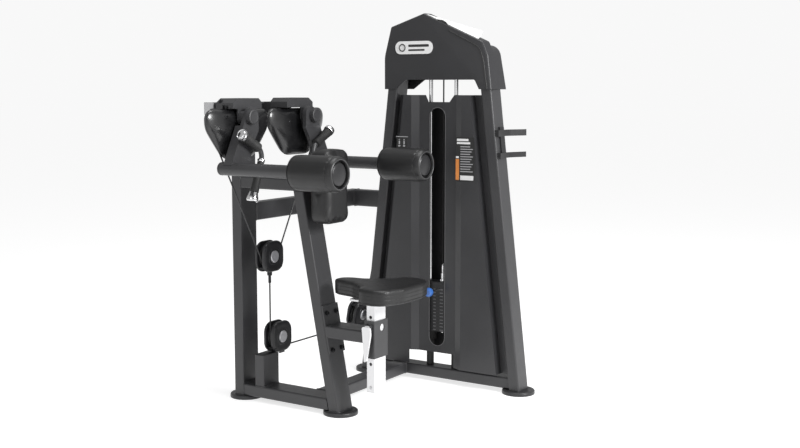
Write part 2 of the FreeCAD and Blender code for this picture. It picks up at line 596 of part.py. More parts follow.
def handle_point(yz):
    return V(HANDLE_X, yz[0], yz[1])


def along_handle(near, far, start, length, radius, hole):
    """Sleeve on one straight end of the handle bar, measured from its tip."""
    tip, inward = handle_point(near), (handle_point(far) - handle_point(near)).normalize()
    body = cyl(tip + inward * start, inward, radius, length)
    return body.cut(cyl(tip - inward * 20, inward, hole, 400)) if hole else body


def build_arm(name, place):
    arm = cyl(V(ARM_X0, ARM_Y, ARM_Z), X_DIR, ARM_R, ARM_X1 - ARM_X0)
    arm = arm.cut(cyl(V(ARM_X0 + 4, ARM_Y, ARM_Z), X_DIR, ARM_R - WALL, ARM_X1 - ARM_X0 - 8))
    lug = box(HANDLE_X - 12, HANDLE_X + 12, 150, ARM_Y, ARM_Z - 16, ARM_Z + 4)
    lug = lug.cut(cyl(V(0, ARM_Y, ARM_Z), X_DIR, ARM_R - 1, 800))
    bar = pipe([handle_point(p) for p in (HANDLE_TOP, HANDLE_BEND, HANDLE_TURN, HANDLE_END)],
               [0, 24, 40, 0], 9)
    save("arm_tube_" + name, place(arm.multiFuse([lug, bar])))
    save("arm_lever_" + name, place(build_lever()))
    save("arm_cam_" + name, place(build_cam()))
    upper = along_handle(HANDLE_TOP, HANDLE_BEND, 12, 91, 17.5, 9.05)
    lower = along_handle(HANDLE_END, HANDLE_TURN, 26, 68, 16, 9.05)
    save("handle_grips_" + name, place(upper), place(lower))
    cap_up = along_handle(HANDLE_TOP, HANDLE_BEND, -6, 18, CAP_R, 0)
    cap_up = cap_up.cut(along_handle(HANDLE_TOP, HANDLE_BEND, 0, 200, 9, 0))
    tip, inward = handle_point(HANDLE_END), (handle_point(HANDLE_TURN) - handle_point(HANDLE_END))
    cap_down = revolve([(-8, 0), (-8, CAP_R - 1), (0, CAP_R), (26, 16), (26, 9), (0, 9), (0, 0)],
                       tip, inward.normalize())
    save("handle_caps_" + name, place(cap_up), place(cap_down))
    roller = [(0, ARM_R + 0.5), (0, ROLLER_R - 14), (14, ROLLER_R), (ROLLER_X1 - ROLLER_X0 - 12, ROLLER_R),
              (ROLLER_X1 - ROLLER_X0, ROLLER_R - 10), (ROLLER_X1 - ROLLER_X0, 0),
              (ARM_X1 - ROLLER_X0 + 0.6, 0), (ARM_X1 - ROLLER_X0 + 0.6, ARM_R + 0.5)]
    save("roller_" + name, place(revolve(roller, V(ROLLER_X0, ARM_Y, ARM_Z), X_DIR)))
    save("cam_guard_" + name, place(build_cam_guard()))


def build_arms():
    build_arm("right", lambda shape: shape)
    build_arm("left", mirror_y)
    bracket = build_pivot_bracket()
    save("pivot_brackets", mirror_y(bracket), bracket)


# ---- pads and seat ------------------------------------------------------------------------
def seat_half_outline():
    return [V(438, -18, 0), V(470, -42, 0), V(545, -58, 0), V(612, -104, 0), V(640, -163, 0),
            V(742, -165, 0), V(776, -60, 0)]


def build_seat():
    lean_x = FRONT_FOOT_X + TUBE_T / 2 / math.cos(math.atan(FRONT_LEAN))
    slab = [V(lean_x - FRONT_LEAN * z + extra, -TUBE_W / 2, z)
            for z, extra in ((230, 0), (230, 6), (408, 6), (408, 0))]
    mount = plate(slab, [0] * 4, Y_DIR * TUBE_W)
    arm = tube(380, POST_X - 22.5, -TUBE_W / 2, TUBE_W / 2, 291, 336, X_DIR)
    arm = arm.cut(front_upright_block(6))
    normal = V(1, 0, FRONT_LEAN).normalize()
    bolts, holes = [], []
    for z in (243, 379):
        for y in (-28, 28):
            seat_point = V(lean_x - FRONT_LEAN * z, y, z)
            holes.append(cyl(seat_point - normal * 5, normal, 4.6, 20))
            head = cyl(seat_point + normal * 6, normal, 9, 2).fuse(cyl(seat_point + normal * 8, normal, 7, 6))
            bolts.append(head.fuse(cyl(seat_point + normal * 0.2, normal, 4.5, 8)))
    save("seat_arm", mount.cut(Part.makeCompound(holes)), arm)
    save("frame_bolts", *bolts)

    sleeve = box(POST_X - 22.5, POST_X + 22.5, -45, 45, SLEEVE_Z0, SLEEVE_Z1)
    sleeve = round_edges(sleeve, 4, Z_DIR)
    bore = box(POST_X - POST_T / 2 - 0.5, POST_X + POST_T / 2 + 0.5, -POST_W / 2 - 0.5, POST_W / 2 + 0.5,
               SLEEVE_Z0 - 5, SLEEVE_Z1 + 5)
    eye = cyl(V(POST_X, 7, 346), X_DIR, 14, 40)
    lock = cyl(V(POST_X, -60, LOCK_Z), Y_DIR, 6.1, 30)
    ear = box(POST_X - 14, POST_X - 8, -57, -45, 340, 362)
    ears = ear.fuse(ear.translated(X_DIR * 22))
    pivot = cyl(V(POST_X - 14, -52, 352), X_DIR, 3, 28)
    boss = cyl(V(POST_X, -58, LOCK_Z), Y_DIR, 10, 14).cut(lock)
    save("seat_sleeve", sleeve.cut(bore).cut(eye).cut(lock).multiFuse([ears, pivot, boss]))

    post = box(POST_X - POST_T / 2, POST_X + POST_T / 2, -POST_W / 2, POST_W / 2, POST_Z0, POST_Z1)
    post = round_edges(post, 3, Z_DIR)
    post = post.cut(box(POST_X - POST_T / 2 + 3, POST_X + POST_T / 2 - 3, -POST_W / 2 + 3, POST_W / 2 - 3,
                        POST_Z0 - 1, POST_Z1 + 1))
    for step in range(-1, 3):
        hole = V(POST_X, -POST_W / 2 - 1, LOCK_Z - HOLE_PITCH * step)
        post = post.cut(cyl(hole, Y_DIR, 6.4, 10))
    flange = round_edges(box(POST_X - 75, POST_X + 95, -70, 70, POST_Z1, POST_Z1 + 6), 15, Z_DIR)
    save("seat_post", post, flange)

    lower = seat_half_outline()
    points = [p + Z_DIR * (SEAT_TOP - SEAT_T) for p in lower]
    points += [V(p.x, -p.y, p.z) for p in reversed(points)]
    half_radii = [14, 60, 90, 60, 50, 60, 70]
    cushion = plate(points, half_radii + half_radii[::-1], Z_DIR * (SEAT_T - 3))
    save("seat_cushion", cushion)

    blade = [(-19, 356), (17, 356), (20, 330), (2, 232), (-10, 226), (-14, 300)]
    blade = plate([V(POST_X + x, -66, z) for x, z in blade], [8, 8, 60, 4, 4, 60], Y_DIR * 6)
    knuckle = cyl(V(POST_X - 7.5, -52, 352), X_DIR, 7, 15).fuse(
        box(POST_X - 7.5, POST_X + 7.5, -62, -52, 345, 359))
    hole = cyl(V(POST_X - 20, -52, 352), X_DIR, 3.05, 40)
    save("seat_lever", blade.fuse(knuckle).cut(hole))
    save("seat_lock_pin", cyl(V(POST_X, -59.5, LOCK_Z), Y_DIR, 6, 23))


def build_chest_pad():
    back = plate([V(366, -50, 730), V(366, 50, 730), V(366, 50, 965), V(366, -50, 965)], [20] * 4,
                 X_DIR * 8)
    save("pad_plate", back)
    outline = [V(375, y, z) for y, z in ((-76, 708), (76, 708), (76, 985), (-76, 985))]
    pad = plate(outline, [36] * 4, X_DIR * 80)
    edges = face_edges(pad, (455,))
    save("chest_pad", pad.makeFillet(14, edges))


os.makedirs("parts", exist_ok=True)
build_frame()
build_tower()
build_cables(build_weights())
build_arms()
build_seat()
build_chest_pad()
print("nodes", len([f for f in os.listdir("parts") if f.endswith(".step")]))
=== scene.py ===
"""Looks for the seated lateral-raise machine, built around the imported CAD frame. Metres, row frame."""
import json
import math

import bmesh
import bpy
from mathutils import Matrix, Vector


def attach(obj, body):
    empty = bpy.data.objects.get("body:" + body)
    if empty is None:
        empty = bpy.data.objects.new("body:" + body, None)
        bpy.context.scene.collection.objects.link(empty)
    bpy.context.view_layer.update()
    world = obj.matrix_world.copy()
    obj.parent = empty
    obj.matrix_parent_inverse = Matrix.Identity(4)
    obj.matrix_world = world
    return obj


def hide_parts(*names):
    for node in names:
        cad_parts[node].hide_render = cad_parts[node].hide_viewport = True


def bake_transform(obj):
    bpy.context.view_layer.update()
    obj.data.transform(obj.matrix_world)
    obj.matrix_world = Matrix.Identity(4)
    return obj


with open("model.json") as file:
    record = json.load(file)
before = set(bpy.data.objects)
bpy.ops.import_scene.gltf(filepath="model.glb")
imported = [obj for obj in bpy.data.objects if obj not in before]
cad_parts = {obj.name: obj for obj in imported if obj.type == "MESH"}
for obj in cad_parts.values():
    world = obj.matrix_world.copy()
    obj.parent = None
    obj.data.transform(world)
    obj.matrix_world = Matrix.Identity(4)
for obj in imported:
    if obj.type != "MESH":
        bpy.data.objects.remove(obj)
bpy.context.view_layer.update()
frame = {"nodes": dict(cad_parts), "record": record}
NODES = frame["nodes"]
OFFSET = Vector((0.440, 0.205, 0.0))    # the rear upright's foot is the zero of the stations below
X, Y, Z = Vector((1, 0, 0)), Vector((0, 1, 0)), Vector((0, 0, 1))
TAU = 2 * math.pi


def st(x, y, z):
    """A station measured from the rear upright's foot, in the row frame."""
    return Vector((x, y, z)) - OFFSET


# ---- stations shared with the CAD ---------------------------------------------------------
PIVOT_Y, PIVOT_Z = 0.188, 1.100
ARM_Y, ARM_Z = 0.275, 0.917
ARM_X0, ROLLER_X0, ROLLER_X1, ROLLER_R = 0.132, 0.462, 0.658, 0.062
CABLE_X, FLOAT_Z, CABLE_R, WHEEL_R = 0.122, 0.566, 0.003, 0.045
TOWER_X, TOWER_Y = 0.5265, 0.620
SHIELD_Y, HOOD_Y0, HOOD_SPLIT, HOOD_Y1 = 0.560, 0.556, 0.612, 0.697
HANDLE_X = 0.219
CAM_R, LOWER_Z = 0.135, 0.2475          # cable radius on the cams, axle of the lower pulley
STACK_Z0, PLATE_PITCH, FIXED_PLATES = 0.2125, 0.014, 12
PLATE_FACE_Y = 0.5851
HALF_T, HALF_W = 0.0225, 0.0475         # half of the frame tube's two sides
RAIL_Z, BEAM_B_Z, BEAM_B_HALF = 0.0395, 0.7275, 0.0355
COLUMN_FOOT_Y, LINK_X = 0.615, 0.3385
FRONT_FOOT_X, FRONT_LEAN = 0.456, 0.19


# ---- materials ----------------------------------------------------------------------------
def material(name, color, rough, metal=0.0, grain=900.0, bump=0.1, vary=0.15, coat=0.0,
             coat_rough=0.1, cell=0.0, rough_vary=0.08, stretch=(1, 1, 1), specular=0.5, scuff=0.0):
    """Principled shader with graded colour, graded roughness and a fine procedural surface."""
    mat = bpy.data.materials.new(name)
    mat.use_nodes = True
    nodes, links = mat.node_tree.nodes, mat.node_tree.links
    shader = nodes["Principled BSDF"]
    shader.inputs["Metallic"].default_value = metal
    shader.inputs["Coat Weight"].default_value = coat
    shader.inputs["Coat Roughness"].default_value = coat_rough
    shader.inputs["Specular IOR Level"].default_value = specular
    place = nodes.new("ShaderNodeTexCoord")
    mapping = nodes.new("ShaderNodeMapping")
    mapping.inputs["Scale"].default_value = stretch
    links.new(place.outputs["Object"], mapping.inputs["Vector"])

    def noise_node(scale, detail):
        node = nodes.new("ShaderNodeTexNoise")
        node.inputs["Scale"].default_value = scale
        node.inputs["Detail"].default_value = detail
        links.new(mapping.outputs["Vector"], node.inputs["Vector"])
        return node

    broad = noise_node(9.0, 4.0)
    ramp = nodes.new("ShaderNodeValToRGB")
    ramp.color_ramp.elements[0].position = 0.3
    ramp.color_ramp.elements[1].position = 0.7
    ramp.color_ramp.elements[0].color = [c * (1 - vary) for c in color] + [1]
    ramp.color_ramp.elements[1].color = [min(1, c * (1 + vary)) for c in color] + [1]
    links.new(broad.outputs["Fac"], ramp.inputs["Fac"])
    tone = ramp.outputs["Color"]
    if scuff:
        marks = noise_node(60.0, 8.0)
        marks.inputs["Roughness"].default_value = 0.7
        mask = nodes.new("ShaderNodeValToRGB")
        mask.color_ramp.elements[0].position = 0.60
        mask.color_ramp.elements[1].position = 0.72
        links.new(marks.outputs["Fac"], mask.inputs["Fac"])
        mix = nodes.new("ShaderNodeMix")
        mix.data_type = "RGBA"
        links.new(mask.outputs["Color"], mix.inputs["Factor"])
        links.new(tone, mix.inputs[6])
        mix.inputs[7].default_value = [min(1, c + scuff) for c in color] + [1]
        tone = mix.outputs[2]
    links.new(tone, shader.inputs["Base Color"])
    spread = nodes.new("ShaderNodeMapRange")
    spread.inputs["To Min"].default_value = max(0.02, rough - rough_vary)
    spread.inputs["To Max"].default_value = min(1, rough + rough_vary)
    links.new(noise_node(35.0, 5.0).outputs["Fac"], spread.inputs["Value"])
    links.new(spread.outputs["Result"], shader.inputs["Roughness"])
    if bump:
        relief = nodes.new("ShaderNodeBump")
        relief.inputs["Strength"].default_value = bump
        relief.inputs["Distance"].default_value = 0.0004
        if cell:
            pebble = nodes.new("ShaderNodeTexVoronoi")
            pebble.inputs["Scale"].default_value = cell
            pebble.feature = "SMOOTH_F1"
            links.new(mapping.outputs["Vector"], pebble.inputs["Vector"])
            total = nodes.new("ShaderNodeMath")
            total.operation = "MULTIPLY_ADD"
            total.inputs[1].default_value = 0.7
            links.new(pebble.outputs["Distance"], total.inputs[0])
            links.new(noise_node(grain, 3.0).outputs["Fac"], total.inputs[2])
            links.new(total.outputs["Value"], relief.inputs["Height"])
        else:
            links.new(noise_node(grain, 3.0).outputs["Fac"], relief.inputs["Height"])
        links.new(relief.outputs["Normal"], shader.inputs["Normal"])
    return mat


MAT = {
    "frame": material("powder_coat", (0.0352, 0.0352, 0.0375), 0.40, grain=1400, bump=0.10, vary=0.07,
                      specular=0.6),
    "foot": material("foot_coat", (0.0297, 0.0297, 0.0317), 0.38, grain=1400, bump=0.10, vary=0.10),
    "shield": material("shield_coat", (0.0295, 0.0295, 0.0318), 0.36, grain=1500, bump=0.08, vary=0.06,
                       specular=0.6),
    "hood": material("hood_plastic", (0.0224, 0.0224, 0.0244), 0.42, grain=2200, bump=0.14, vary=0.06),
    "rod": material("rod_chrome", (0.86, 0.86, 0.87), 0.10, metal=1.0, grain=300, bump=0.02, vary=0.03,
                    rough_vary=0.04, stretch=(6, 6, 0.4)),
    "bumper": material("bumper_rubber", (0.018, 0.018, 0.018), 0.70, grain=700, bump=0.25),
    "iron": material("plate_iron", (0.0225, 0.0225, 0.024), 0.52, grain=420, bump=0.45, vary=0.18,
                     scuff=0.02),
    "holder": material("holder_coat", (0.014, 0.014, 0.015), 0.38, grain=1300, bump=0.1),
    "cable": material("cable_jacket", (0.012, 0.012, 0.0128), 0.34, grain=1600, bump=0.5,
                      stretch=(1, 1, 0.25)),
    "guard": material("pulley_plastic", (0.012, 0.012, 0.0135), 0.33, grain=1700, bump=0.12, vary=0.1),
    "wheel": material("wheel_nylon", (0.0225, 0.0225, 0.0225), 0.42, grain=900, bump=0.12),
    "gloss": material("gloss_shell", (0.0065, 0.0065, 0.0072), 0.30, grain=500, bump=0.02, vary=0.1,
                      coat=0.5, coat_rough=0.16, rough_vary=0.015),
    "cam": material("cam_coat", (0.03, 0.03, 0.0323), 0.45, grain=1300, bump=0.12),
    "bolt": material("black_oxide", (0.020, 0.020, 0.022), 0.34, metal=0.6, grain=1100, bump=0.08),
    "sleeve": material("sleeve_coat", (0.0426, 0.0426, 0.0448), 0.38, grain=1400, bump=0.1, vary=0.06),
    "post": material("post_bright", (0.80, 0.80, 0.81), 0.24, metal=0.15, grain=400, bump=0.04,
                     vary=0.03, rough_vary=0.06, stretch=(3, 3, 0.5)),
    "vinyl": material("vinyl", (0.0058, 0.0058, 0.0063), 0.42, grain=650, bump=0.32, vary=0.12, cell=700,
                      rough_vary=0.10, specular=0.55),
    "grip": material("grip_rubber", (0.013, 0.013, 0.013), 0.58, grain=900, bump=0.35, cell=1500),
    "chrome": material("cap_chrome", (0.84, 0.84, 0.85), 0.09, metal=1.0, grain=350, bump=0.015,
                       vary=0.03, rough_vary=0.04),
    "knob": material("knob_blue", (0.035, 0.13, 0.42), 0.30, grain=900, bump=0.06, vary=0.08, coat=0.4),
    # details that have no slot of their own
    "silver": material("hub_silver", (0.52, 0.52, 0.54), 0.32, metal=0.7, grain=900, bump=0.08, vary=0.06),
    "endcap": material("endcap_grey", (0.50, 0.50, 0.51), 0.48, grain=900, bump=0.12, vary=0.06),
    # hood tray: near-white albedo as a painted reflection of the white surroundings
    "tray_reflection": material("tray_painted_reflection", (0.80, 0.80, 0.80), 0.30, metal=0.1, grain=900, bump=0.05,
                         vary=0.03),
    "badge": material("badge_white", (0.74, 0.74, 0.74), 0.34, grain=900, bump=0.05, vary=0.03),
    "ink": material("ink_black", (0.020, 0.020, 0.020), 0.45, grain=900, bump=0.05, vary=0.05),
    "print": material("print_grey", (0.36, 0.36, 0.37), 0.50, grain=900, bump=0.05, vary=0.10),
    # plate dashes: painted highlight on the plates' lit top edges
    "mark": material("plate_edge_painted_highlight", (0.13, 0.13, 0.135), 0.50, grain=900, bump=0.05, vary=0.2),
    "orange": material("print_orange", (0.62, 0.22, 0.05), 0.50, grain=900, bump=0.05, vary=0.12),
    "board": material("pan_plastic", (0.020, 0.020, 0.021), 0.55, grain=600, bump=0.25, vary=0.1),
    # slot lip: lighter than the shield coat as a painted highlight
    "slot_lip_lit": material("slot_lip_painted_highlight", (0.085, 0.085, 0.088), 0.30, grain=900, bump=0.05, vary=0.06),
    # roller end ring: the vinyl made lighter as a painted highlight
    "rim": material("roller_rim_painted_highlight", (0.0465, 0.0465, 0.0484), 0.34, grain=900, bump=0.1, vary=0.08),
    "disc": material("disc_plastic", (0.012, 0.012, 0.0132), 0.33, grain=1500, bump=0.06, vary=0.08),
    "piping": material("piping_vinyl", (0.0028, 0.0028, 0.0030), 0.46, grain=900, bump=0.2, vary=0.1),
}


def paint_nodes():
    """Gives every CAD node its finish."""
    for part in frame["record"]["subparts"]:
        obj = NODES[part["node"]]
        obj.data.materials.clear()
        # the rear shield takes the darker holder finish: painted shade for the dim inside of the tower
        painted_shade_inside = part["node"] == "shield_rear"
        obj.data.materials.append(MAT["holder" if painted_shade_inside else part["material_slot"]])


# ---- mesh helpers -------------------------------------------------------------------------
def piece(name, verts, faces, body, slot, look=None, smooth=40):
    """A new mesh object that rides on a body and takes its finish from a slot."""
    mesh = bpy.data.meshes.new(name)
    mesh.from_pydata([tuple(v) for v in verts], [], faces)
    mesh.validate()
    return settle(bpy.data.objects.new(name, mesh), body, slot, look, smooth)


def settle(obj, body, slot, look=None, smooth=40):
    """Links a mesh object, splits its shading at sharp edges and gives it its body and finish."""
    if obj.name not in bpy.context.scene.objects:
        bpy.context.scene.collection.objects.link(obj)
    mesh = obj.data
    work = bmesh.new()
    work.from_mesh(mesh)
    bmesh.ops.recalc_face_normals(work, faces=work.faces)
    for face in work.faces:
        face.smooth = True
    limit = math.radians(smooth)
    for edge in work.edges:
        if len(edge.link_faces) == 2 and edge.calc_face_angle(0) > limit:
            edge.smooth = False
    work.to_mesh(mesh)
    work.free()
    mesh.materials.clear()
    mesh.materials.append(MAT[look or slot])
    if body:
        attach(obj, body)
    return obj


def apply_modifiers(obj):
    """Turns an object's modifiers into its own mesh."""
    bpy.context.view_layer.update()
    graph = bpy.context.evaluated_depsgraph_get()
    mesh = bpy.data.meshes.new_from_object(obj.evaluated_get(graph))
    obj.modifiers.clear()
    obj.data = mesh


def bevelled(name, verts, faces, width, body, slot, look=None, segments=3, angle=35, wall=0.0):
    """Like piece, with its sharp edges rounded, and given a wall if it is an open skin."""
    mesh = bpy.data.meshes.new(name)
    mesh.from_pydata([tuple(v) for v in verts], [], faces)
    obj = bpy.data.objects.new(name, mesh)
    bpy.context.scene.collection.objects.link(obj)
    work = bmesh.new()
    work.from_mesh(mesh)
    bmesh.ops.recalc_face_normals(work, faces=work.faces)
    work.to_mesh(mesh)
    work.free()
    round_off = obj.modifiers.new("round", "BEVEL")
    round_off.width = width
    round_off.segments = segments
    round_off.limit_method = "ANGLE"
    round_off.angle_limit = math.radians(angle)
    if wall:
        skin = obj.modifiers.new("skin", "SOLIDIFY")
        skin.thickness = wall
        skin.offset = -1
    apply_modifiers(obj)
    return settle(obj, body, slot, look)


def box(name, low, high, width, body, slot, look=None):
    """Block between two corners, its edges rounded by width."""
    verts = [Vector((x, y, z)) for x in (low.x, high.x) for y in (low.y, high.y) for z in (low.z, high.z)]
    faces = [(0, 1, 3, 2), (4, 6, 7, 5), (0, 4, 5, 1), (2, 3, 7, 6), (0, 2, 6, 4), (1, 5, 7, 3)]
    return bevelled(name, verts, faces, width, body, slot, look)


def side_of(axis):
    """Any unit vector square to axis."""
    return axis.cross(Z if abs(axis.z) < 0.9 else X).normalized()


def lathe(name, profile, origin, axis, body, slot, look=None, segments=64, smooth=35, wave=None):
    """Turns (along, radius) points about axis; wave(angle, along) adds to the radius."""
    axis = axis.normalized()
    u = side_of(axis)
    v = axis.cross(u)
    verts, faces = [], []
    for a, r in profile:
        for i in range(segments):
            t = TAU * i / segments
            reach = max(r, 1e-5) + (wave(t, a) if wave and r > 1e-3 else 0)
            verts.append(origin + axis * a + (u * math.cos(t) + v * math.sin(t)) * reach)
    rings = len(profile)
    for k in range(rings - 1):
        for i in range(segments):
            j = (i + 1) % segments
            faces.append((k * segments + i, k * segments + j, (k + 1) * segments + j, (k + 1) * segments + i))
    for k in (0, rings - 1):
        if profile[k][1] > 0:
            faces.append(tuple(k * segments + i for i in range(segments)))
    return piece(name, verts, faces, body, slot, look, smooth)


def arc_profile(points, radius):
    """Rounds the inside corners of an (along, radius) profile."""
    steps = 5
    out = [points[0]]
    for i in range(1, len(points) - 1):
        p, a, b = Vector(points[i]), Vector(points[i - 1]), Vector(points[i + 1])
        cut = min(radius, (a - p).length * 0.45, (b - p).length * 0.45)
        s, e = p + (a - p).normalized() * cut, p + (b - p).normalized() * cut
        for k in range(steps + 1):
            t = k / steps
            out.append(tuple(s * (1 - t) ** 2 + p * 2 * t * (1 - t) + e * t ** 2))
    out.append(points[-1])
    return out


def sweep(name, path, radius, body, slot, look=None, closed=False, segments=14):
    """Round bar along a list of points."""
    verts, faces, count = [], [], len(path)
    normal = None
    for i, p in enumerate(path):
        nxt = path[(i + 1) % count] if closed or i + 1 < count else p
        prv = path[i - 1] if closed or i else p
        along = (nxt - prv).normalized()
        normal = side_of(along) if normal is None else (normal - along * normal.dot(along)).normalized()
        other = along.cross(normal)
        for k in range(segments):
            t = TAU * k / segments
            verts.append(p + normal * (math.cos(t) * radius) + other * (math.sin(t) * radius))
    for i in range(count if closed else count - 1):
        j = (i + 1) % count
        for k in range(segments):
            m = (k + 1) % segments
            faces.append((i * segments + k, i * segments + m, j * segments + m, j * segments + k))
    if not closed:
        faces.append(tuple(range(segments)))
        faces.append(tuple((count - 1) * segments + k for k in range(segments)))
    return piece(name, verts, faces, body, slot, look)


def rounded(points, radii, steps=8):
    """Closed 2-D outline with tangent arcs at its corners."""
    out, count = [], len(points)
    for i in range(count):
        p, a, b = (Vector(points[k % count]) for k in (i, i - 1, i + 1))
        if radii[i] <= 0:
            out.append(p)
            continue
        d0, d1 = (a - p).normalized(), (b - p).normalized()
        half = d0.angle(d1) / 2
        reach = radii[i] / math.tan(half)
        centre = p + (d0 + d1).normalized() * (radii[i] / math.sin(half))
        s, e = p + d0 * reach, p + d1 * reach
        a0 = math.atan2(s.y - centre.y, s.x - centre.x)
        a1 = math.atan2(e.y - centre.y, e.x - centre.x)
        turn = (a1 - a0 + math.pi) % TAU - math.pi
        for k in range(steps + 1):
            t = a0 + turn * k / steps
            out.append(centre + Vector((math.cos(t), math.sin(t))) * radii[i])
    return out


def even(outline, count):
    """The same closed outline with evenly spaced points."""
    total = [0.0]
    for i, p in enumerate(outline):
        total.append(total[-1] + (outline[(i + 1) % len(outline)] - p).length)
    out, k = [], 0
    for i in range(count):
        want = total[-1] * i / count
        while total[k + 1] < want:
            k += 1
        share = (want - total[k]) / max(1e-9, total[k + 1] - total[k])
        out.append(outline[k].lerp(outline[(k + 1) % len(outline)], share))
    return out


def stack_rings(name, rings, body, slot, smooth):
    """Joins equal closed rings of points, one after the other."""
    n = len(rings[0])
    verts = [p for ring in rings for p in ring]
    faces = []
    for k in range(len(rings) - 1):
        for i in range(n):
            j = (i + 1) % n
            faces.append((k * n + i, k * n + j, (k + 1) * n + j, (k + 1) * n + i))
    faces.append(tuple(range(n)))
    faces.append(tuple((len(rings) - 1) * n + i for i in range(n)))
    return piece(name, verts, faces, body, slot, None, smooth)


def bolt(name, at, axis, radius, height):
    """Washer and a socket-cap head, standing on the point at."""
    dent = radius * 0.5
    profile = [(0, 0.0), (0, radius * 1.35), (height * 0.18, radius * 1.35), (height * 0.22, radius),
               (height * 0.9, radius), (height, radius * 0.88), (height, dent), (height * 0.5, dent),
               (height * 0.5, 0)]
    return lathe(name, profile, at, axis, "root", "bolt", segments=24)


# ---- camera, light and floor --------------------------------------------------------------
BACKDROP, AMBIENT, FLOOR_TONE = 0.94, 0.44, 0.55


def build_stage():
    camera = bpy.data.cameras.new("camera")
    camera.lens = 51.28
    camera.sensor_width = 36.0
    holder = bpy.data.objects.new("camera", camera)
    holder.location = st(2.875, -3.358, 1.2057)
    holder.rotation_euler = (math.radians(90 - 6.83), 0, math.radians(32.74))
    bpy.context.scene.collection.objects.link(holder)
    bpy.context.scene.camera = holder

    # the backdrop is white where it is seen and dimmer as a light, so that the faces keep their shape
    world = bpy.data.worlds.new("studio")
    world.use_nodes = True
    nodes, links = world.node_tree.nodes, world.node_tree.links
    back = nodes["Background"]
    back.inputs["Color"].default_value = (1, 1, 1, 1)
    path = nodes.new("ShaderNodeLightPath")
    level = nodes.new("ShaderNodeMapRange")
    level.inputs["To Min"].default_value = AMBIENT
    level.inputs["To Max"].default_value = BACKDROP
    links.new(path.outputs["Is Camera Ray"], level.inputs["Value"])
    links.new(level.outputs["Result"], back.inputs["Strength"])
    bpy.context.scene.world = world
    bpy.context.scene.view_settings.view_transform = "Standard"

    for label, place, aim, size, power in (
            ("key", (3.6, -0.2, 2.3), (0, 0.1, 0.7), 1.2, 145),
            ("front", (0.4, -3.6, 2.0), (0, 0, 0.7), 2.0, 12),
            ("top", (0.5, 0.0, 3.8), (0, 0, 0), 2.0, 60)):
        light = bpy.data.lights.new(label, "AREA")
        light.size = size
        light.energy = power
        lamp = bpy.data.objects.new(label, light)
        lamp.location = place
        lamp.rotation_euler = (Vector(aim) - Vector(place)).to_track_quat("-Z", "Y").to_euler()
        bpy.context.scene.collection.objects.link(lamp)

    mesh = bpy.data.meshes.new("floor")
    reach = 60.0
    mesh.from_pydata([(-reach, -reach, 0), (reach, -reach, 0), (reach, reach, 0), (-reach, reach, 0)], [],
                     [(0, 1, 2, 3)])
    floor = bpy.data.objects.new("floor", mesh)
    bpy.context.scene.collection.objects.link(floor)
    finish = material("floor_pale", (FLOOR_TONE,) * 3, 0.9, grain=20, bump=0, vary=0.005, specular=0.0)
    shader = finish.node_tree.nodes["Principled BSDF"]
    shader.inputs["Emission Color"].default_value = (1, 1, 1, 1)
    shader.inputs["Emission Strength"].default_value = BACKDROP - FLOOR_TONE * AMBIENT
    mesh.materials.append(finish)


# ---- tower --------------------------------------------------------------------------------
HOOD_LEFT = [((0.281, 1.199), 0), ((0.281, 1.330), 0.12), ((0.313, 1.449), 0.010)]
HOOD_FRONT_RIGHT = [((0.470, 1.4995), 0.008), ((0.737, 1.3835), 0.016), ((0.760, 1.330), 0.06),
                    ((0.776, 1.199), 0)]
HOOD_REAR_RIGHT = [((0.410, 1.492), 0.008), ((0.652, 1.402), 0.010), ((0.666, 1.379), 0.012),
                   ((0.742, 1.371), 0.048), ((0.774, 1.199), 0)]
HOOD_MOUTH = [((0.722, 1.199), 0), ((0.702, 1.237), 0.012), ((0.390, 1.237), 0.012), ((0.335, 1.199), 0)]


def hood_part(name, right, y_face, y_open, inset, node):
    """One moulded hood cover: its face at y_face and walls that run to y_open, open at the mouth."""
    foot, mouth_top, shoulder, half = 1.199, 1.237, 1.3, 0.245
    corners = HOOD_LEFT + right + HOOD_MOUTH
    outline = rounded([c for c, _ in corners], [r for _, r in corners], 7)
    if inset:
        outline = [Vector((TOWER_X + (p.x - TOWER_X) * (1 - inset / half),
                           p.y - (inset if p.y > shoulder else 0))) for p in outline]
    face = [st(p.x, y_face, p.y) for p in outline]
    back = [st(p.x, y_open, p.y) for p in outline]
    n = len(outline)
    faces = [tuple(range(n))]
    for i in range(n):
        j = (i + 1) % n
        p, q = outline[i], outline[j]
        in_mouth = all(v.y < mouth_top + 0.0005 and 0.33 < v.x < 0.725 for v in (p, q))
        across_foot = all(abs(v.y - foot) < 1e-4 for v in (p, q))
        if not (in_mouth or across_foot):
            faces.append((i, j, n + j, n + i))
    shell = bevelled(name, face + back, faces, 0.008, "root", "hood", segments=4, angle=50, wall=0.0035)
    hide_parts(node)


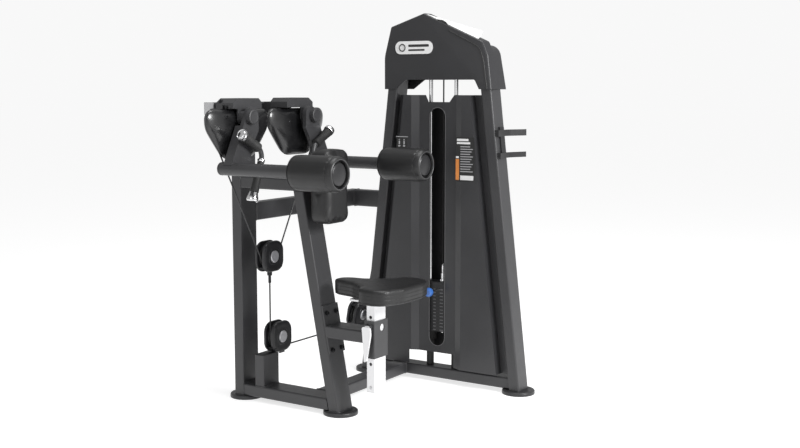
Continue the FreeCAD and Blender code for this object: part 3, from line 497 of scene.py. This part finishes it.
def build_hood():
    hood_part("hood_front_shell", HOOD_FRONT_RIGHT, HOOD_Y0, HOOD_SPLIT - 0.001, 0.0, "hood_front")
    hood_part("hood_rear_shell", HOOD_REAR_RIGHT, HOOD_Y1, HOOD_SPLIT - 0.006, 0.003, "hood_rear")

    # tray on the long slope, near-white as a painted reflection of the white surroundings: level with the
    # front edge and rising to the rear
    top = [st(0.480, 0.563, 1.4962), st(0.714, 0.563, 1.3948), st(0.667, 0.690, 1.4298),
           st(0.415, 0.690, 1.4985)]
    low = [v - Z * (0.004 if k < 2 else 0.012) for k, v in enumerate(top)]
    faces = [(0, 1, 2, 3), (4, 5, 6, 7)] + [(i, (i + 1) % 4, 4 + (i + 1) % 4, 4 + i) for i in range(4)]
    bevelled("hood_top_tray", top + low, faces, 0.0015, "root", "hood", "tray_reflection")

    # dark wedge on the front shell below the tray's front edge: painted shadow
    wedge = [Vector(p) for p in ((0.530, 1.4732), (0.556, 1.4700), (0.572, 1.4610), (0.580, 1.4510))]
    slab("hood_painted_shadow_wedge", wedge, HOOD_Y0 + 0.004, 0.003, "ink")

    seam = [(0.585, 1.4300), (0.640, 1.4020), (0.700, 1.3730), (0.726, 1.3520), (0.741, 1.3100),
            (0.750, 1.2500), (0.757, 1.2010)]
    path = smooth_path([st(x, HOOD_Y0 - 0.0004, z) for x, z in seam], 6)
    sweep("hood_seam", path, 0.0022, "root", "hood", "ink", segments=8)
    lathe("hood_screw", [(0, 0), (0, 0.005), (0.0015, 0.0045), (0.0018, 0.002), (0.0008, 0)],
          st(0.700, HOOD_Y0, 1.3700), -Y, "root", "bolt", "ink", segments=20)

    outline = rounded([(0.338, 1.339), (0.513, 1.339), (0.513, 1.390), (0.338, 1.390)], [0.0235] * 4, 8)
    slab("badge_plate", outline, HOOD_Y0 - 0.0004, 0.0022, "badge")
    ring = [st(0.371 + 0.0135 * math.cos(t), HOOD_Y0 - 0.0030, 1.3645 + 0.0135 * math.sin(t))
            for t in (TAU * i / 32 for i in range(32))]
    sweep("badge_ring", ring, 0.0022, "root", "hood", "ink", closed=True, segments=8)
    for k, (x1, z0, z1, r) in enumerate(((0.496, 1.367, 1.377, 0.003), (0.476, 1.351, 1.358, 0.002))):
        slab("badge_bar_%d" % (k + 1), rounded([(0.400, z0), (x1, z0), (x1, z1), (0.400, z1)], [r] * 4, 4),
             HOOD_Y0 - 0.0024, 0.0006, "ink")


def smooth_path(points, steps):
    """Catmull-Rom samples through the points."""
    out = []
    for i in range(len(points) - 1):
        a, b = points[max(0, i - 1)], points[i]
        c, d = points[i + 1], points[min(len(points) - 1, i + 2)]
        for k in range(steps):
            t = k / steps
            out.append(0.5 * ((2 * b) + (c - a) * t + (2 * a - 5 * b + 4 * c - d) * t * t
                              + (3 * b - a - 3 * c + d) * t ** 3))
    out.append(points[-1])
    return out


def slab(name, outline, y, depth, look, slot="hood", body="root"):
    """Thin plate facing -Y from a 2-D (x, z) outline."""
    n = len(outline)
    verts = [st(p.x, y, p.y) for p in outline] + [st(p.x, y - depth, p.y) for p in outline]
    faces = [tuple(range(n)), tuple(range(n, 2 * n))] + [(i, (i + 1) % n, n + (i + 1) % n, n + i)
                                                         for i in range(n)]
    return piece(name, verts, faces, body, slot, look)


def bar(name, x0, x1, z0, z1, y, look, depth=0.0006, radius=0.0008):
    """Thin printed bar on the tower's shields."""
    return slab(name, rounded([(x0, z0), (x1, z0), (x1, z1), (x0, z1)], [radius] * 4, 3), y, depth, look,
                "shield")


def build_labels():
    y = SHIELD_Y - 0.0001
    bar("label_plate", 0.620, 0.703, 0.836, 1.011, y, "ink", 0.0006, 0.002)
    bar("label_head_1", 0.624, 0.676, 0.996, 1.005, y - 0.0006, "badge")
    bar("label_head_2", 0.624, 0.684, 0.984, 0.992, y - 0.0006, "badge")
    for k in range(11):
        z = 0.972 - 0.0098 * k
        bar("label_line_%d" % k, 0.640, 0.690 + 0.006 * ((k * 5) % 3 - 1), z, z + 0.0036, y - 0.0006, "print")
    bar("label_foot", 0.640, 0.699, 0.842, 0.860, y - 0.0006, "badge")
    bar("label_stripe", 0.619, 0.634, 0.842, 0.925, y - 0.0006, "orange")
    bar("label_stripe_cap", 0.620, 0.633, 0.928, 0.936, y - 0.0006, "badge")
    # small exercise plate: a frame with a plain figure made of bars
    bar("pictogram_rule", 0.337, 0.395, 1.0055, 1.0085, y, "print")
    bar("pictogram_plate", 0.340, 0.390, 0.9555, 1.0035, y, "ink", 0.0005, 0.002)
    for k, x in enumerate((0.353, 0.376)):
        bar("pictogram_body_%d" % k, x - 0.003, x + 0.003, 0.9755, 0.9905, y - 0.0005, "print", 0.0005,
            0.0025)
        bar("pictogram_head_%d" % k, x - 0.0025, x + 0.0025, 0.9925, 0.9975, y - 0.0005, "print", 0.0005,
            0.0024)
        bar("pictogram_leg_%d" % k, x - 0.005, x + 0.005, 0.9665, 0.9725, y - 0.0005, "print", 0.0005, 0.0022)


def build_tower():
    build_hood()
    build_labels()
    # painted highlights on the plates' lit top edges, either side of the pin holes
    for k in range(FIXED_PLATES + 1):
        z = STACK_Z0 + PLATE_PITCH * k
        body = "root" if k < FIXED_PLATES else "weight_carriage"
        for tag, x0, x1 in (("l", TOWER_X - 0.0245, TOWER_X - 0.0125),
                            ("r", TOWER_X + 0.006, TOWER_X + 0.022)):
            outline = rounded([(x0, z + 0.0048), (x1, z + 0.0048), (x1, z + 0.0088), (x0, z + 0.0088)],
                              [0.0012] * 4, 3)
            slab("plate_edge_highlight_%s_%d" % (tag, k), outline, PLATE_FACE_Y, 0.0006, "mark", "iron", body)
        if k < FIXED_PLATES:
            lathe("plate_hole_%d" % k, [(0, 0.0), (0, 0.0042), (0.0007, 0.0040), (0.0007, 0.0030),
                                        (0.0002, 0.0028), (0.0002, 0)],
                  st(TOWER_X - 0.004, PLATE_FACE_Y, z + 0.0068), -Y, body, "iron", "ink", segments=20)
    # raised lip round the pin slot, coloured lighter than the shield as a painted highlight for the light its
    # edges catch
    outline = even(rounded([(-0.0365, 0.1555), (0.0365, 0.1555), (0.0365, 1.1265), (-0.0365, 1.1265)],
                           [0.0362] * 4, 12), 260)
    sweep("slot_lip", [st(TOWER_X + p.x, 0.5728, p.y) for p in outline], 0.0016, "root", "shield", "slot_lip_lit",
          closed=True, segments=8)


# ---- arms ---------------------------------------------------------------------------------
GUARD_OUTLINE = rounded([(-0.173, 1.127), (-0.169, 1.060), (-0.080, 0.949), (0.080, 0.949), (0.169, 1.060),
                         (0.173, 1.127)], [0.034, 0.070, 0.062, 0.062, 0.070, 0.034], 10)
GUARD_Y, GUARD_HUB_Z = 0.1725, 1.050
GUARD_BACK, GUARD_FRONT = 0.043, 0.0275


def build_guard(name, side):
    """Lens-shaped shell: thin at its rim, domed front and back, with soft radiating ridges."""
    ring = even(GUARD_OUTLINE, 120)
    steps = [1.0, 0.998, 0.99, 0.975, 0.95, 0.91, 0.86, 0.79, 0.70, 0.59, 0.46, 0.32, 0.18, 0.06]

    def layer(scale, sign):
        points = []
        for p in ring:
            dy, dz = p.x, p.y - GUARD_HUB_Z
            angle = math.atan2(dz, dy)
            oval = 1 / math.hypot(math.cos(angle) / 0.150, math.sin(angle) / 0.080)
            blend = min(1.0, 1.5 * (1 - scale))
            reach = (math.hypot(dy, dz) * (1 - blend) + oval * blend) * scale
            dome = GUARD_BACK if sign < 0 else GUARD_FRONT
            rise = 0.003 + (dome - 0.0036) * (1 - scale ** 3.4) ** 0.62
            ridge = 0.0004 * math.cos(7 * angle) * math.sin(math.pi * scale) ** 2
            points.append(st(CABLE_X + sign * (rise + ridge), side * (GUARD_Y + reach * math.cos(angle)),
                             GUARD_HUB_Z + reach * math.sin(angle)))
        return points

    rings = [layer(s, -1) for s in reversed(steps)] + [layer(s, 1) for s in steps]
    shell = stack_rings(name, rings, "root", "gloss", smooth=50)
    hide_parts(name.replace("shell_", ""))
    for k, (y, z, x) in enumerate(((0.256, 1.101, 0.1430), (0.106, 1.074, 0.1455))):
        lathe("%s_screw_%d" % (name, k), [(0, 0), (0, 0.0075), (0.002, 0.007), (0.0035, 0.005),
                                          (0.0035, 0.003), (0.002, 0.003), (0.002, 0)],
              st(x, side * y, z), X, "root", "bolt", segments=24)
    # the joint line of the two halves; none along the top, where the cam comes out as the arm lifts
    lip = [st(CABLE_X, side * (GUARD_Y + p.x), p.y) for p in even(GUARD_OUTLINE, 120) if p.y < 1.117]
    sweep(name + "_lip", lip, 0.0022, "root", "gloss", "board", segments=8)


def roller_profile():
    """Length and (along, radius) profile of a roller: soft ends, a groove, a rim and a recess."""
    length = ROLLER_X1 - ROLLER_X0
    r = ROLLER_R
    return length, [(0.0, 0.026), (0.0, r - 0.020), (0.003, r - 0.012), (0.010, r - 0.005),
                    (0.020, r - 0.0014), (0.034, r - 0.0004), (0.070, r), (0.110, r - 0.0002),
                    (length - 0.034, r), (length - 0.024, r - 0.0006), (length - 0.0225, r - 0.0018),
                    (length - 0.0210, r - 0.0006), (length - 0.014, r - 0.0012),
                    (length - 0.006, r - 0.0035), (length - 0.0015, r - 0.0065),
                    (length - 0.0002, r - 0.0095), (length - 0.0015, r - 0.0130),
                    (length - 0.006, r - 0.0150), (length - 0.017, 0.0455), (length - 0.017, 0.0)]


def build_arm(name, side):
    """One arm's roller, grips, caps and cam shell."""
    body = "arm_" + name
    spin = "arm_roller_" + name

    def at(x, y, z):
        return st(x, side * y, z)

    length, profile = roller_profile()

    def crease(angle, along):
        """Faint pull wrinkles close to both ends of the cover."""
        ends = math.exp(-((along - 0.030) / 0.014) ** 2) + math.exp(-((along - length + 0.036) / 0.010) ** 2)
        return 0.0004 * ends * (math.sin(17 * angle + 2) + 0.6 * math.sin(31 * angle + side))

    roll = lathe("roller_pad_" + name, profile, at(ROLLER_X0, ARM_Y, ARM_Z), X, spin, "vinyl", segments=96,
                 wave=crease)
    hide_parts("roller_" + name)
    lathe("roller_disc_" + name, arc_profile([(0, 0.0), (0, 0.0405), (0.0085, 0.0405), (0.0115, 0.0370),
                                              (0.0142, 0.026), (0.0156, 0.012), (0.0160, 0.0)], 0.0012),
          at(ROLLER_X1 - 0.0168, ARM_Y, ARM_Z), X, spin, "guard", "disc", segments=72)
    # raised ring at the roller's end, its vinyl coloured lighter as a painted highlight on the ring
    rim = [at(ROLLER_X1 - 0.0022, ARM_Y + math.cos(t) * 0.0510, ARM_Z + math.sin(t) * 0.0510)
           for t in (TAU * i / 72 for i in range(72))]
    sweep("roller_rim_" + name, rim, 0.0024, spin, "vinyl", "rim", closed=True, segments=10)
    seam = [at(ROLLER_X0 + 0.012, ARM_Y + math.cos(t) * (ROLLER_R - 0.0035),
               ARM_Z + math.sin(t) * (ROLLER_R - 0.0035)) for t in (TAU * i / 72 for i in range(72))]
    sweep("roller_seam_" + name, seam, 0.0014, spin, "vinyl", "piping", closed=True, segments=8)

    # hand grips with ribs and their chrome ends
    top, bend, turn, end = (0.262, 1.040), (0.163, 0.983), (0.152, 0.958), (0.210, 0.806)
    for label, tip, root, start, run, big in (("upper", top, bend, 0.012, 0.091, 0.0175),
                                              ("lower", end, turn, 0.026, 0.068, 0.0160)):
        origin = at(HANDLE_X, *tip)
        axis = (at(HANDLE_X, *root) - origin).normalized()
        ribs = [(start, 0.0092)]
        count = 15
        for k in range(count + 1):
            a = start + 0.002 + (run - 0.004) * k / count
            swell = big - 0.0012 * math.cos(math.pi * (2 * k / count - 1)) - 0.0012
            ribs += [(a, swell), (a + 0.0022, swell + 0.0011), (a + 0.0036, swell + 0.0011),
                     (a + 0.0044, swell)]
        ribs = [p for p in ribs if p[0] <= start + run - 0.001]
        ribs += [(start + run - 0.001, big - 0.001), (start + run, big - 0.003), (start + run, 0.0092)]
        grip = lathe("grip_%s_%s" % (label, name), ribs, origin, axis, body, "grip", segments=40)
        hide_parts("handle_grips_" + name)
        if label == "upper":
            cap = [(-0.006, 0.0), (-0.006, 0.0125), (-0.0045, 0.0150), (-0.0035, 0.0160), (-0.0045, 0.0175),
                   (-0.004, 0.0202), (0.0, 0.0214), (0.008, 0.0214), (0.0115, 0.0202), (0.012, 0.0092)]
        else:
            cap = [(-0.008, 0.0), (-0.008, 0.0170), (-0.0065, 0.0198), (-0.002, 0.0213), (0.004, 0.0210),
                   (0.014, 0.0185), (0.022, 0.0166), (0.0255, 0.0158), (0.026, 0.0092)]
        shine = lathe("grip_cap_%s_%s" % (label, name), cap, origin, axis, body, "chrome", segments=48)
        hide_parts("handle_caps_" + name)
    # chrome collar and black sleeve above the handle's bracket
    tip = at(HANDLE_X, *end)
    run = (at(HANDLE_X, *turn) - tip).normalized()
    lathe("handle_sleeve_" + name, arc_profile([(0.121, 0.009), (0.121, 0.0125), (0.141, 0.0125),
                                                (0.141, 0.009)], 0.002), tip, run, body, "grip", segments=32)
    lathe("handle_collar_" + name, arc_profile([(0.141, 0.009), (0.141, 0.0140), (0.151, 0.0140),
                                                (0.151, 0.009)], 0.002), tip, run, body, "chrome",
          segments=32)
    lathe("arm_end_cap_" + name, [(-0.0035, 0.0), (-0.0030, 0.010), (-0.0018, 0.017), (0.001, 0.0225),
                                  (0.006, 0.0240), (0.007, 0.0236)], at(ARM_X0 + 0.0005, ARM_Y, ARM_Z), X,
          body, "frame", "board", segments=48)
    lathe("pivot_cap_" + name, arc_profile([(0, 0.0), (0, 0.0262), (0.0045, 0.0262), (0.0060, 0.0215),
                                            (0.0050, 0.016), (0.0050, 0.0)], 0.0012),
          at(0.2100, PIVOT_Y, PIVOT_Z), X, body, "frame", segments=56)
    build_guard("shell_cam_guard_" + name, side)
    outward = Vector((0, side * 0.537, 0.844))
    bolt("bracket_bolt_" + name, at(0.093, 0.2285, 1.1567), outward, 0.0065, 0.004)


# ---- pulleys and cables -------------------------------------------------------------------
def pod(name, centre, axis, up, body, posts, nodes=()):
    """Pulley cover: two rounded cheeks, pulled in at their rims, with a silver hub cap."""
    side = axis.cross(up)
    square = even(rounded([(-0.059, -0.059), (0.059, -0.059), (0.059, 0.059), (-0.059, 0.059)],
                          [0.0395] * 4, 10), 72)
    for k, sign in enumerate((-1, 1)):
        levels = [(0.95, 0.0115), (0.985, 0.0120), (1.0, 0.0140), (1.0, 0.0175), (0.985, 0.0205),
                  (0.955, 0.0228), (0.90, 0.0240), (0.78, 0.0246), (0.70, 0.0238), (0.52, 0.0238),
                  (0.50, 0.0250), (0.30, 0.0252)]
        rings = [[centre + axis * (sign * h) + side * (p.x * s) + up * (p.y * s) for p in square]
                 for s, h in levels]
        stack_rings("%s_cheek_%d" % (name, k), rings, body, "guard", smooth=30)
    lathe(name + "_hub", arc_profile([(0.024, 0.0), (0.024, 0.0232), (0.0275, 0.0232),
                                                  (0.0295, 0.0205), (0.0292, 0.010), (0.0298, 0.0)], 0.0012),
                      centre, axis, body, "guard", "silver", segments=56)
    lathe(name + "_hub_back", arc_profile([(-0.028, 0.0), (-0.028, 0.010), (-0.0245, 0.0115),
                                                       (-0.024, 0.0115)], 0.0012), centre, axis, body, "bolt",
                      segments=6, smooth=20)
    for node in nodes:
        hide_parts(node)
    for a, b in ((1, 1), (-1, -1), (1, -1), (-1, 1)):
        foot = centre + side * (a * 0.0415) + up * (b * 0.0415)
        lathe("%s_rivet_%d%d" % (name, a + 1, b + 1),
              [(0.0238, 0), (0.0238, 0.0045), (0.0252, 0.0040), (0.0262, 0.0)], foot, axis, body, "bolt",
              segments=16)
        if (a, b) in posts:
            lathe("%s_post_%d%d" % (name, a + 1, b + 1),
                  [(-0.013, 0), (-0.013, 0.0055), (0.013, 0.0055), (0.013, 0)], foot, axis, body, "bolt",
                  segments=20)


def straight(a, b, steps):
    """Evenly spaced points from a to b."""
    return [a.lerp(b, k / steps) for k in range(steps + 1)]


def build_cables():
    """Taut cables with their end fittings, and the covers of the pulleys they pass."""
    float_at = st(CABLE_X, 0, FLOAT_Z)
    rise, out = PIVOT_Z - FLOAT_Z, PIVOT_Y
    angle = math.atan2(out, rise) + math.asin((CAM_R - WHEEL_R) / math.hypot(rise, out))
    for name, side in (("left", -1), ("right", 1)):
        reach = Vector((0, side * math.cos(angle), -math.sin(angle)))
        cam = st(CABLE_X, side * PIVOT_Y, PIVOT_Z) + reach * CAM_R
        low = float_at + reach * WHEEL_R
        run = sweep("cable_arm_" + name, straight(cam, low, 28), CABLE_R, None, "cable", segments=12)
        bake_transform(run)
        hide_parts("cable_arms")
        hidden = [st(CABLE_X, side * PIVOT_Y, PIVOT_Z) + Vector((0, side * math.cos(t), math.sin(t))) * CAM_R
                  for t in [-angle + k * 0.08 for k in range(4)]]
        sweep("cable_cam_" + name, hidden, CABLE_R, "arm_" + name, "cable", segments=12)
    loop = [float_at + Vector((0, math.cos(t), math.sin(t))) * WHEEL_R
            for t in [-angle - (math.pi - 2 * angle) * k / 24 for k in range(25)]]
    sweep("cable_wrap", loop, CABLE_R, "floating_pulley", "cable", segments=12)

    # front drop from the floating pulley's clevis to the lower pulley
    top, low = st(CABLE_X, 0, 0.490), st(CABLE_X, 0, LOWER_Z)
    drop = sweep("cable_front_drop", straight(top, low, 30), CABLE_R, None, "cable", segments=12)
    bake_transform(drop)
    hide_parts("cable_stack_front")
    lathe("clevis_ferrule", arc_profile([(0, 0.0), (0, 0.0055), (0.026, 0.0055), (0.030, 0.004),
                                         (0.030, 0.0)], 0.001), st(CABLE_X, 0, 0.462), Z, "floating_pulley",
          "bolt", segments=24)
    lathe("clevis_neck", arc_profile([(0, 0.0), (0, 0.0088), (0.006, 0.0098), (0.014, 0.0098),
                                      (0.022, 0.0088), (0.022, 0)], 0.0015), st(CABLE_X, 0, 0.4905), Z,
          "floating_pulley", "bolt", segments=32)
    box("clevis_yoke", st(CABLE_X - 0.0125, -0.010, 0.505), st(CABLE_X + 0.0125, 0.010, 0.5145), 0.002,
        "floating_pulley", "guard", "bolt")

    high, stem = st(TOWER_X, TOWER_Y, 1.355), st(TOWER_X, TOWER_Y, 0.4505)
    fall = sweep("cable_stack_fall", straight(high, stem, 60), CABLE_R, None, "cable", segments=12)
    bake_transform(fall)
    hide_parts("cable_stack_drop")
    lathe("stem_ferrule", arc_profile([(0, 0.0), (0, 0.0062), (0.034, 0.0062), (0.040, 0.0045),
                                       (0.040, 0.0)], 0.001), stem - Z * 0.002, Z, "weight_carriage",
          "chrome", segments=24)

    pod("pod_float", float_at, X, Z, "floating_pulley", ((1, -1), (-1, -1)), ["float_guard"])
    pod("pod_lower", st(CABLE_X, 0.045, LOWER_Z), X, Z, "root", ((-1, 1), (1, -1)), ["pulley_guards"])
    lean = Vector((0.98454677, 0, -0.17512189))
    pod("pod_tower", st(0.12988048, 0.58488277, 0.2468046), lean, (Z - lean * lean.z).normalized(), "root",
        ((1, 1), (-1, -1)))
    box("pod_stay", st(0.148, 0.574, 0.236), st(0.178, 0.604, 0.256), 0.003, "root", "frame")
    for side in (-1, 1):
        x = CABLE_X + side * 0.0185
        box("pod_lower_ear_%d" % (side + 1), st(x - 0.003, 0.030, 0.183), st(x + 0.003, 0.060, 0.205), 0.0012,
            "root", "frame")


# ---- seat and pads ------------------------------------------------------------------------
def puff(obj, voxel, pressure, cap, hold):
    """Inflates a closed form as cloth; hold(v) in 0..1 keeps a point where it was."""
    mesh_mod = obj.modifiers.new("voxels", "REMESH")
    mesh_mod.mode = "VOXEL"
    mesh_mod.voxel_size = voxel
    apply_modifiers(obj)
    before = [v.co.copy() for v in obj.data.vertices]
    cloth = obj.modifiers.new("cloth", "CLOTH")
    cloth.settings.use_pressure = True
    cloth.settings.uniform_pressure_force = pressure
    cloth.settings.effector_weights.gravity = 0
    cloth.settings.quality = 5
    cloth.settings.tension_stiffness = 12
    cloth.settings.compression_stiffness = 12
    cloth.settings.bending_stiffness = 0.6
    cloth.point_cache.frame_start = 1
    cloth.point_cache.frame_end = 20
    for step in range(1, 21):
        bpy.context.scene.frame_set(step)
    apply_modifiers(obj)
    bpy.context.scene.frame_set(1)
    for v, rest in zip(obj.data.vertices, before):
        move = v.co - rest
        if move.length > cap:
            move *= cap / move.length
        v.co = rest + move * (1 - hold(rest))
    smooth = obj.modifiers.new("smooth", "SMOOTH")
    smooth.factor = 0.5
    smooth.iterations = 4
    fine = obj.modifiers.new("fine", "SUBSURF")
    fine.levels = 1
    fine.render_levels = 1
    apply_modifiers(obj)


def solid_from(name, outline, levels, place):
    """Closed form from scaled copies of an outline: levels of (inset, height)."""
    n = len(outline)
    normals = []
    for i in range(n):
        d = (outline[(i + 1) % n] - outline[i - 1]).normalized()
        normals.append(Vector((d.y, -d.x)))
    verts = [place(outline[i] - normals[i] * inset, h) for inset, h in levels for i in range(n)]
    faces = []
    for k in range(len(levels) - 1):
        for i in range(n):
            j = (i + 1) % n
            faces.append((k * n + i, k * n + j, (k + 1) * n + j, (k + 1) * n + i))
    faces.append(tuple(range(n)))
    faces.append(tuple((len(levels) - 1) * n + i for i in range(n)))
    mesh = bpy.data.meshes.new(name)
    mesh.from_pydata([tuple(v) for v in verts], [], faces)
    obj = bpy.data.objects.new(name, mesh)
    bpy.context.scene.collection.objects.link(obj)
    work = bmesh.new()
    work.from_mesh(mesh)
    bmesh.ops.recalc_face_normals(work, faces=work.faces)
    work.to_mesh(mesh)
    work.free()
    return obj


def seat_outline():
    """Plan of the seat: narrow between the legs, wide at the back."""
    half = [(0.438, -0.018), (0.470, -0.042), (0.545, -0.058), (0.612, -0.104), (0.640, -0.163),
            (0.742, -0.165), (0.776, -0.060)]
    radii = [0.014, 0.060, 0.090, 0.060, 0.050, 0.060, 0.070]
    points = half + [(x, -y) for x, y in reversed(half)]
    return even(rounded(points, radii + radii[::-1], 10), 200)


def build_seat():
    outline = seat_outline()
    levels = [(0.008, 0.459), (0.0035, 0.461), (0.0025, 0.466), (0.0025, 0.5050), (0.0034, 0.5088),
              (0.007, 0.5102)]
    cushion = solid_from("seat_pad", outline, levels, lambda p, h: st(p.x, p.y, h))
    puff(cushion, 0.004, 4.0, 0.004, lambda v: 1.0 if v.z < 0.463 else (0.85 if v.z < 0.506 else 0.30))
    rings = [wrap(cushion, outline, lambda p, z=z: st(p.x, p.y, z), sink)
             for z, sink in ((0.4635, 0.0006), (0.4765, 0.0004), (0.4895, 0.0004), (0.5025, 0.0004))]
    settle(cushion, "seat", "vinyl", smooth=60)
    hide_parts("seat_cushion")
    sweep("seat_piping", rings[0], 0.0022, "seat", "vinyl", "piping", closed=True, segments=10)
    for k, ring in enumerate(rings[1:]):
        sweep("seat_seam_%d" % k, ring, 0.0011, "seat", "vinyl", "piping", closed=True, segments=8)
    pan_levels = [(0.030, 0.4555), (0.012, 0.4556), (0.0065, 0.4565), (0.004, 0.4585), (0.0045, 0.4615),
                  (0.010, 0.4625)]
    pan = solid_from("seat_pan", outline, pan_levels, lambda p, h: st(p.x, p.y, h))
    settle(pan, "seat", "vinyl", "board", smooth=50)


def wrap(cushion, outline, place, sink):
    """A ring round a cushion that lies on its finished skin, its centre a little way in."""
    n = len(outline)
    ring = []
    for i in range(n):
        d = (outline[(i + 1) % n] - outline[i - 1]).normalized()
        start = place(outline[i] + Vector((d.y, -d.x)) * 0.03)
        inward = (place(outline[i]) - start).normalized()
        hit, spot, _, _ = cushion.ray_cast(start, inward)
        ring.append((spot if hit else place(outline[i])) + inward * sink)
    # a light averaging keeps the ring free of the mesh's small steps
    for _ in range(3):
        ring = [(ring[i - 1] + ring[i] * 2 + ring[(i + 1) % n]) / 4 for i in range(n)]
    return ring


def build_chest_pad():
    points = [(-0.076, 0.708), (0.076, 0.708), (0.076, 0.985), (-0.076, 0.985)]
    outline = even(rounded(points, [0.036] * 4, 10), 160)
    levels = [(0.006, 0.376), (0.0035, 0.380), (0.0030, 0.392), (0.0030, 0.434), (0.0060, 0.443),
              (0.014, 0.449)]
    pad = solid_from("chest_cushion", outline, levels, lambda p, h: st(h, p.x, p.y))
    puff(pad, 0.005, 4.0, 0.006, lambda v: 1.0 if v.x + OFFSET.x < 0.381 else 0.25)
    rings = [wrap(pad, outline, lambda p, x=x: st(x, p.x, p.y), 0.0006) for x in (0.3825, 0.4365)]
    settle(pad, "root", "vinyl", smooth=60)
    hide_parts("chest_pad")
    for k, ring in enumerate(rings):
        sweep("chest_piping_%d" % k, ring, 0.0019, "root", "vinyl", "piping", closed=True, segments=10)


# ---- frame details ------------------------------------------------------------------------
def weld(name, centre, u, v, half_u, half_v):
    """Weld bead round the end of a tube: a rippled ring in the plane of u and v."""
    radius, corner = 0.0028, 0.008
    outline = rounded([(-half_u, -half_v), (half_u, -half_v), (half_u, half_v), (-half_u, half_v)],
                      [corner] * 4, 4)
    ring = even(outline, 90)
    path = []
    for i, p in enumerate(ring):
        ripple = 1 + 0.006 * math.sin(i * 2.1)
        path.append(centre + u * (p.x * ripple) + v * (p.y * ripple))
    sweep(name, path, radius, "root", "frame", closed=True, segments=8)


def build_frame_details():
    """Weld beads, end caps, rims of the feet and bolt heads."""
    for side in (-1, 1):
        y0, y1 = sorted((side * 0.1845, side * 0.1905))
        box("crossbar_cap_%s" % ("l" if side < 0 else "r"), st(-0.0228, y0, 1.1057), st(0.0228, y1, 1.1513),
            0.0025, "root", "frame", "endcap")
    t, w, beam = HALF_T, HALF_W, BEAM_B_HALF
    for tag, place, u, v, half_u, half_v in (("crossbar", (0, 0, 1.106), X, Y, t, w),
                                             ("beam_a", (t, 0, 0.8485), Y, Z, w, t),
                                             ("beam_b", (0, w, BEAM_B_Z), X, Z, t, beam),
                                             ("rail", (t, 0, RAIL_Z), Y, Z, w, t),
                                             ("link", (LINK_X, w, RAIL_Z), X, Z, 0.0335, t),
                                             ("link_tower", (LINK_X, 0.585, RAIL_Z), X, Z, 0.0335, t),
                                             ("post", (0.1025, 0, 0.062), X, Y, t, w),
                                             ("beam_c", (t, 0.7295, BEAM_B_Z), Y, Z, t, beam),
                                             ("foot_0", (0, 0, 0.0155), X, Y, t + 0.001, w),
                                             ("foot_1", (0.453, 0, 0.0155), X, Y, t + 0.001, w)):
        weld("weld_" + tag, st(*place), u, v, half_u, half_v)
    # cast rims on the floor feet
    columns = [TOWER_X + s * (0.355 - 0.116 * 0.015) for s in (-1, 1)]
    for k, (x, y) in enumerate(((0, 0), (0.453, 0), (columns[0], COLUMN_FOOT_Y),
                                (columns[1], COLUMN_FOOT_Y))):
        lathe("foot_rim_%d" % k, [(0.0, 0.056), (0.0, 0.0648), (0.0035, 0.0656), (0.009, 0.0650),
                                  (0.0135, 0.0620), (0.0158, 0.0565), (0.0160, 0.0520), (0.0152, 0.0500)],
              st(x, y, 0), Z, "root", "foot", segments=72)
    for k, z in enumerate((0.243, 0.379)):
        for m, y in enumerate((-0.028, 0.028)):
            normal = Vector((1, 0, FRONT_LEAN)).normalized()
            face = st(FRONT_FOOT_X + t / math.cos(math.atan(FRONT_LEAN)) - FRONT_LEAN * z, y, z)
            cap = bolt("seat_arm_bolt_%d%d" % (k, m), face + normal * 0.0061, normal, 0.0072, 0.0078)
            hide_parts("frame_bolts")
    box("pulley_post_cap", st(0.0805, -0.0470, 0.1838), st(0.1245, 0.0470, 0.1868), 0.0015, "root", "frame",
        "board")
    box("upright_cap", st(0.2905, -0.0470, 0.8270), st(0.3165, 0.0470, 0.8300), 0.001, "root", "frame",
        "board")
    box("side_beam_cap", st(-0.0220, 0.7515, 0.6925), st(0.0220, 0.7528, 0.7625), 0.0006, "root", "frame",
        "board")


paint_nodes()
build_stage()
build_tower()
build_arm("left", -1)
build_arm("right", 1)
build_cables()
build_seat()
build_chest_pad()
build_frame_details()
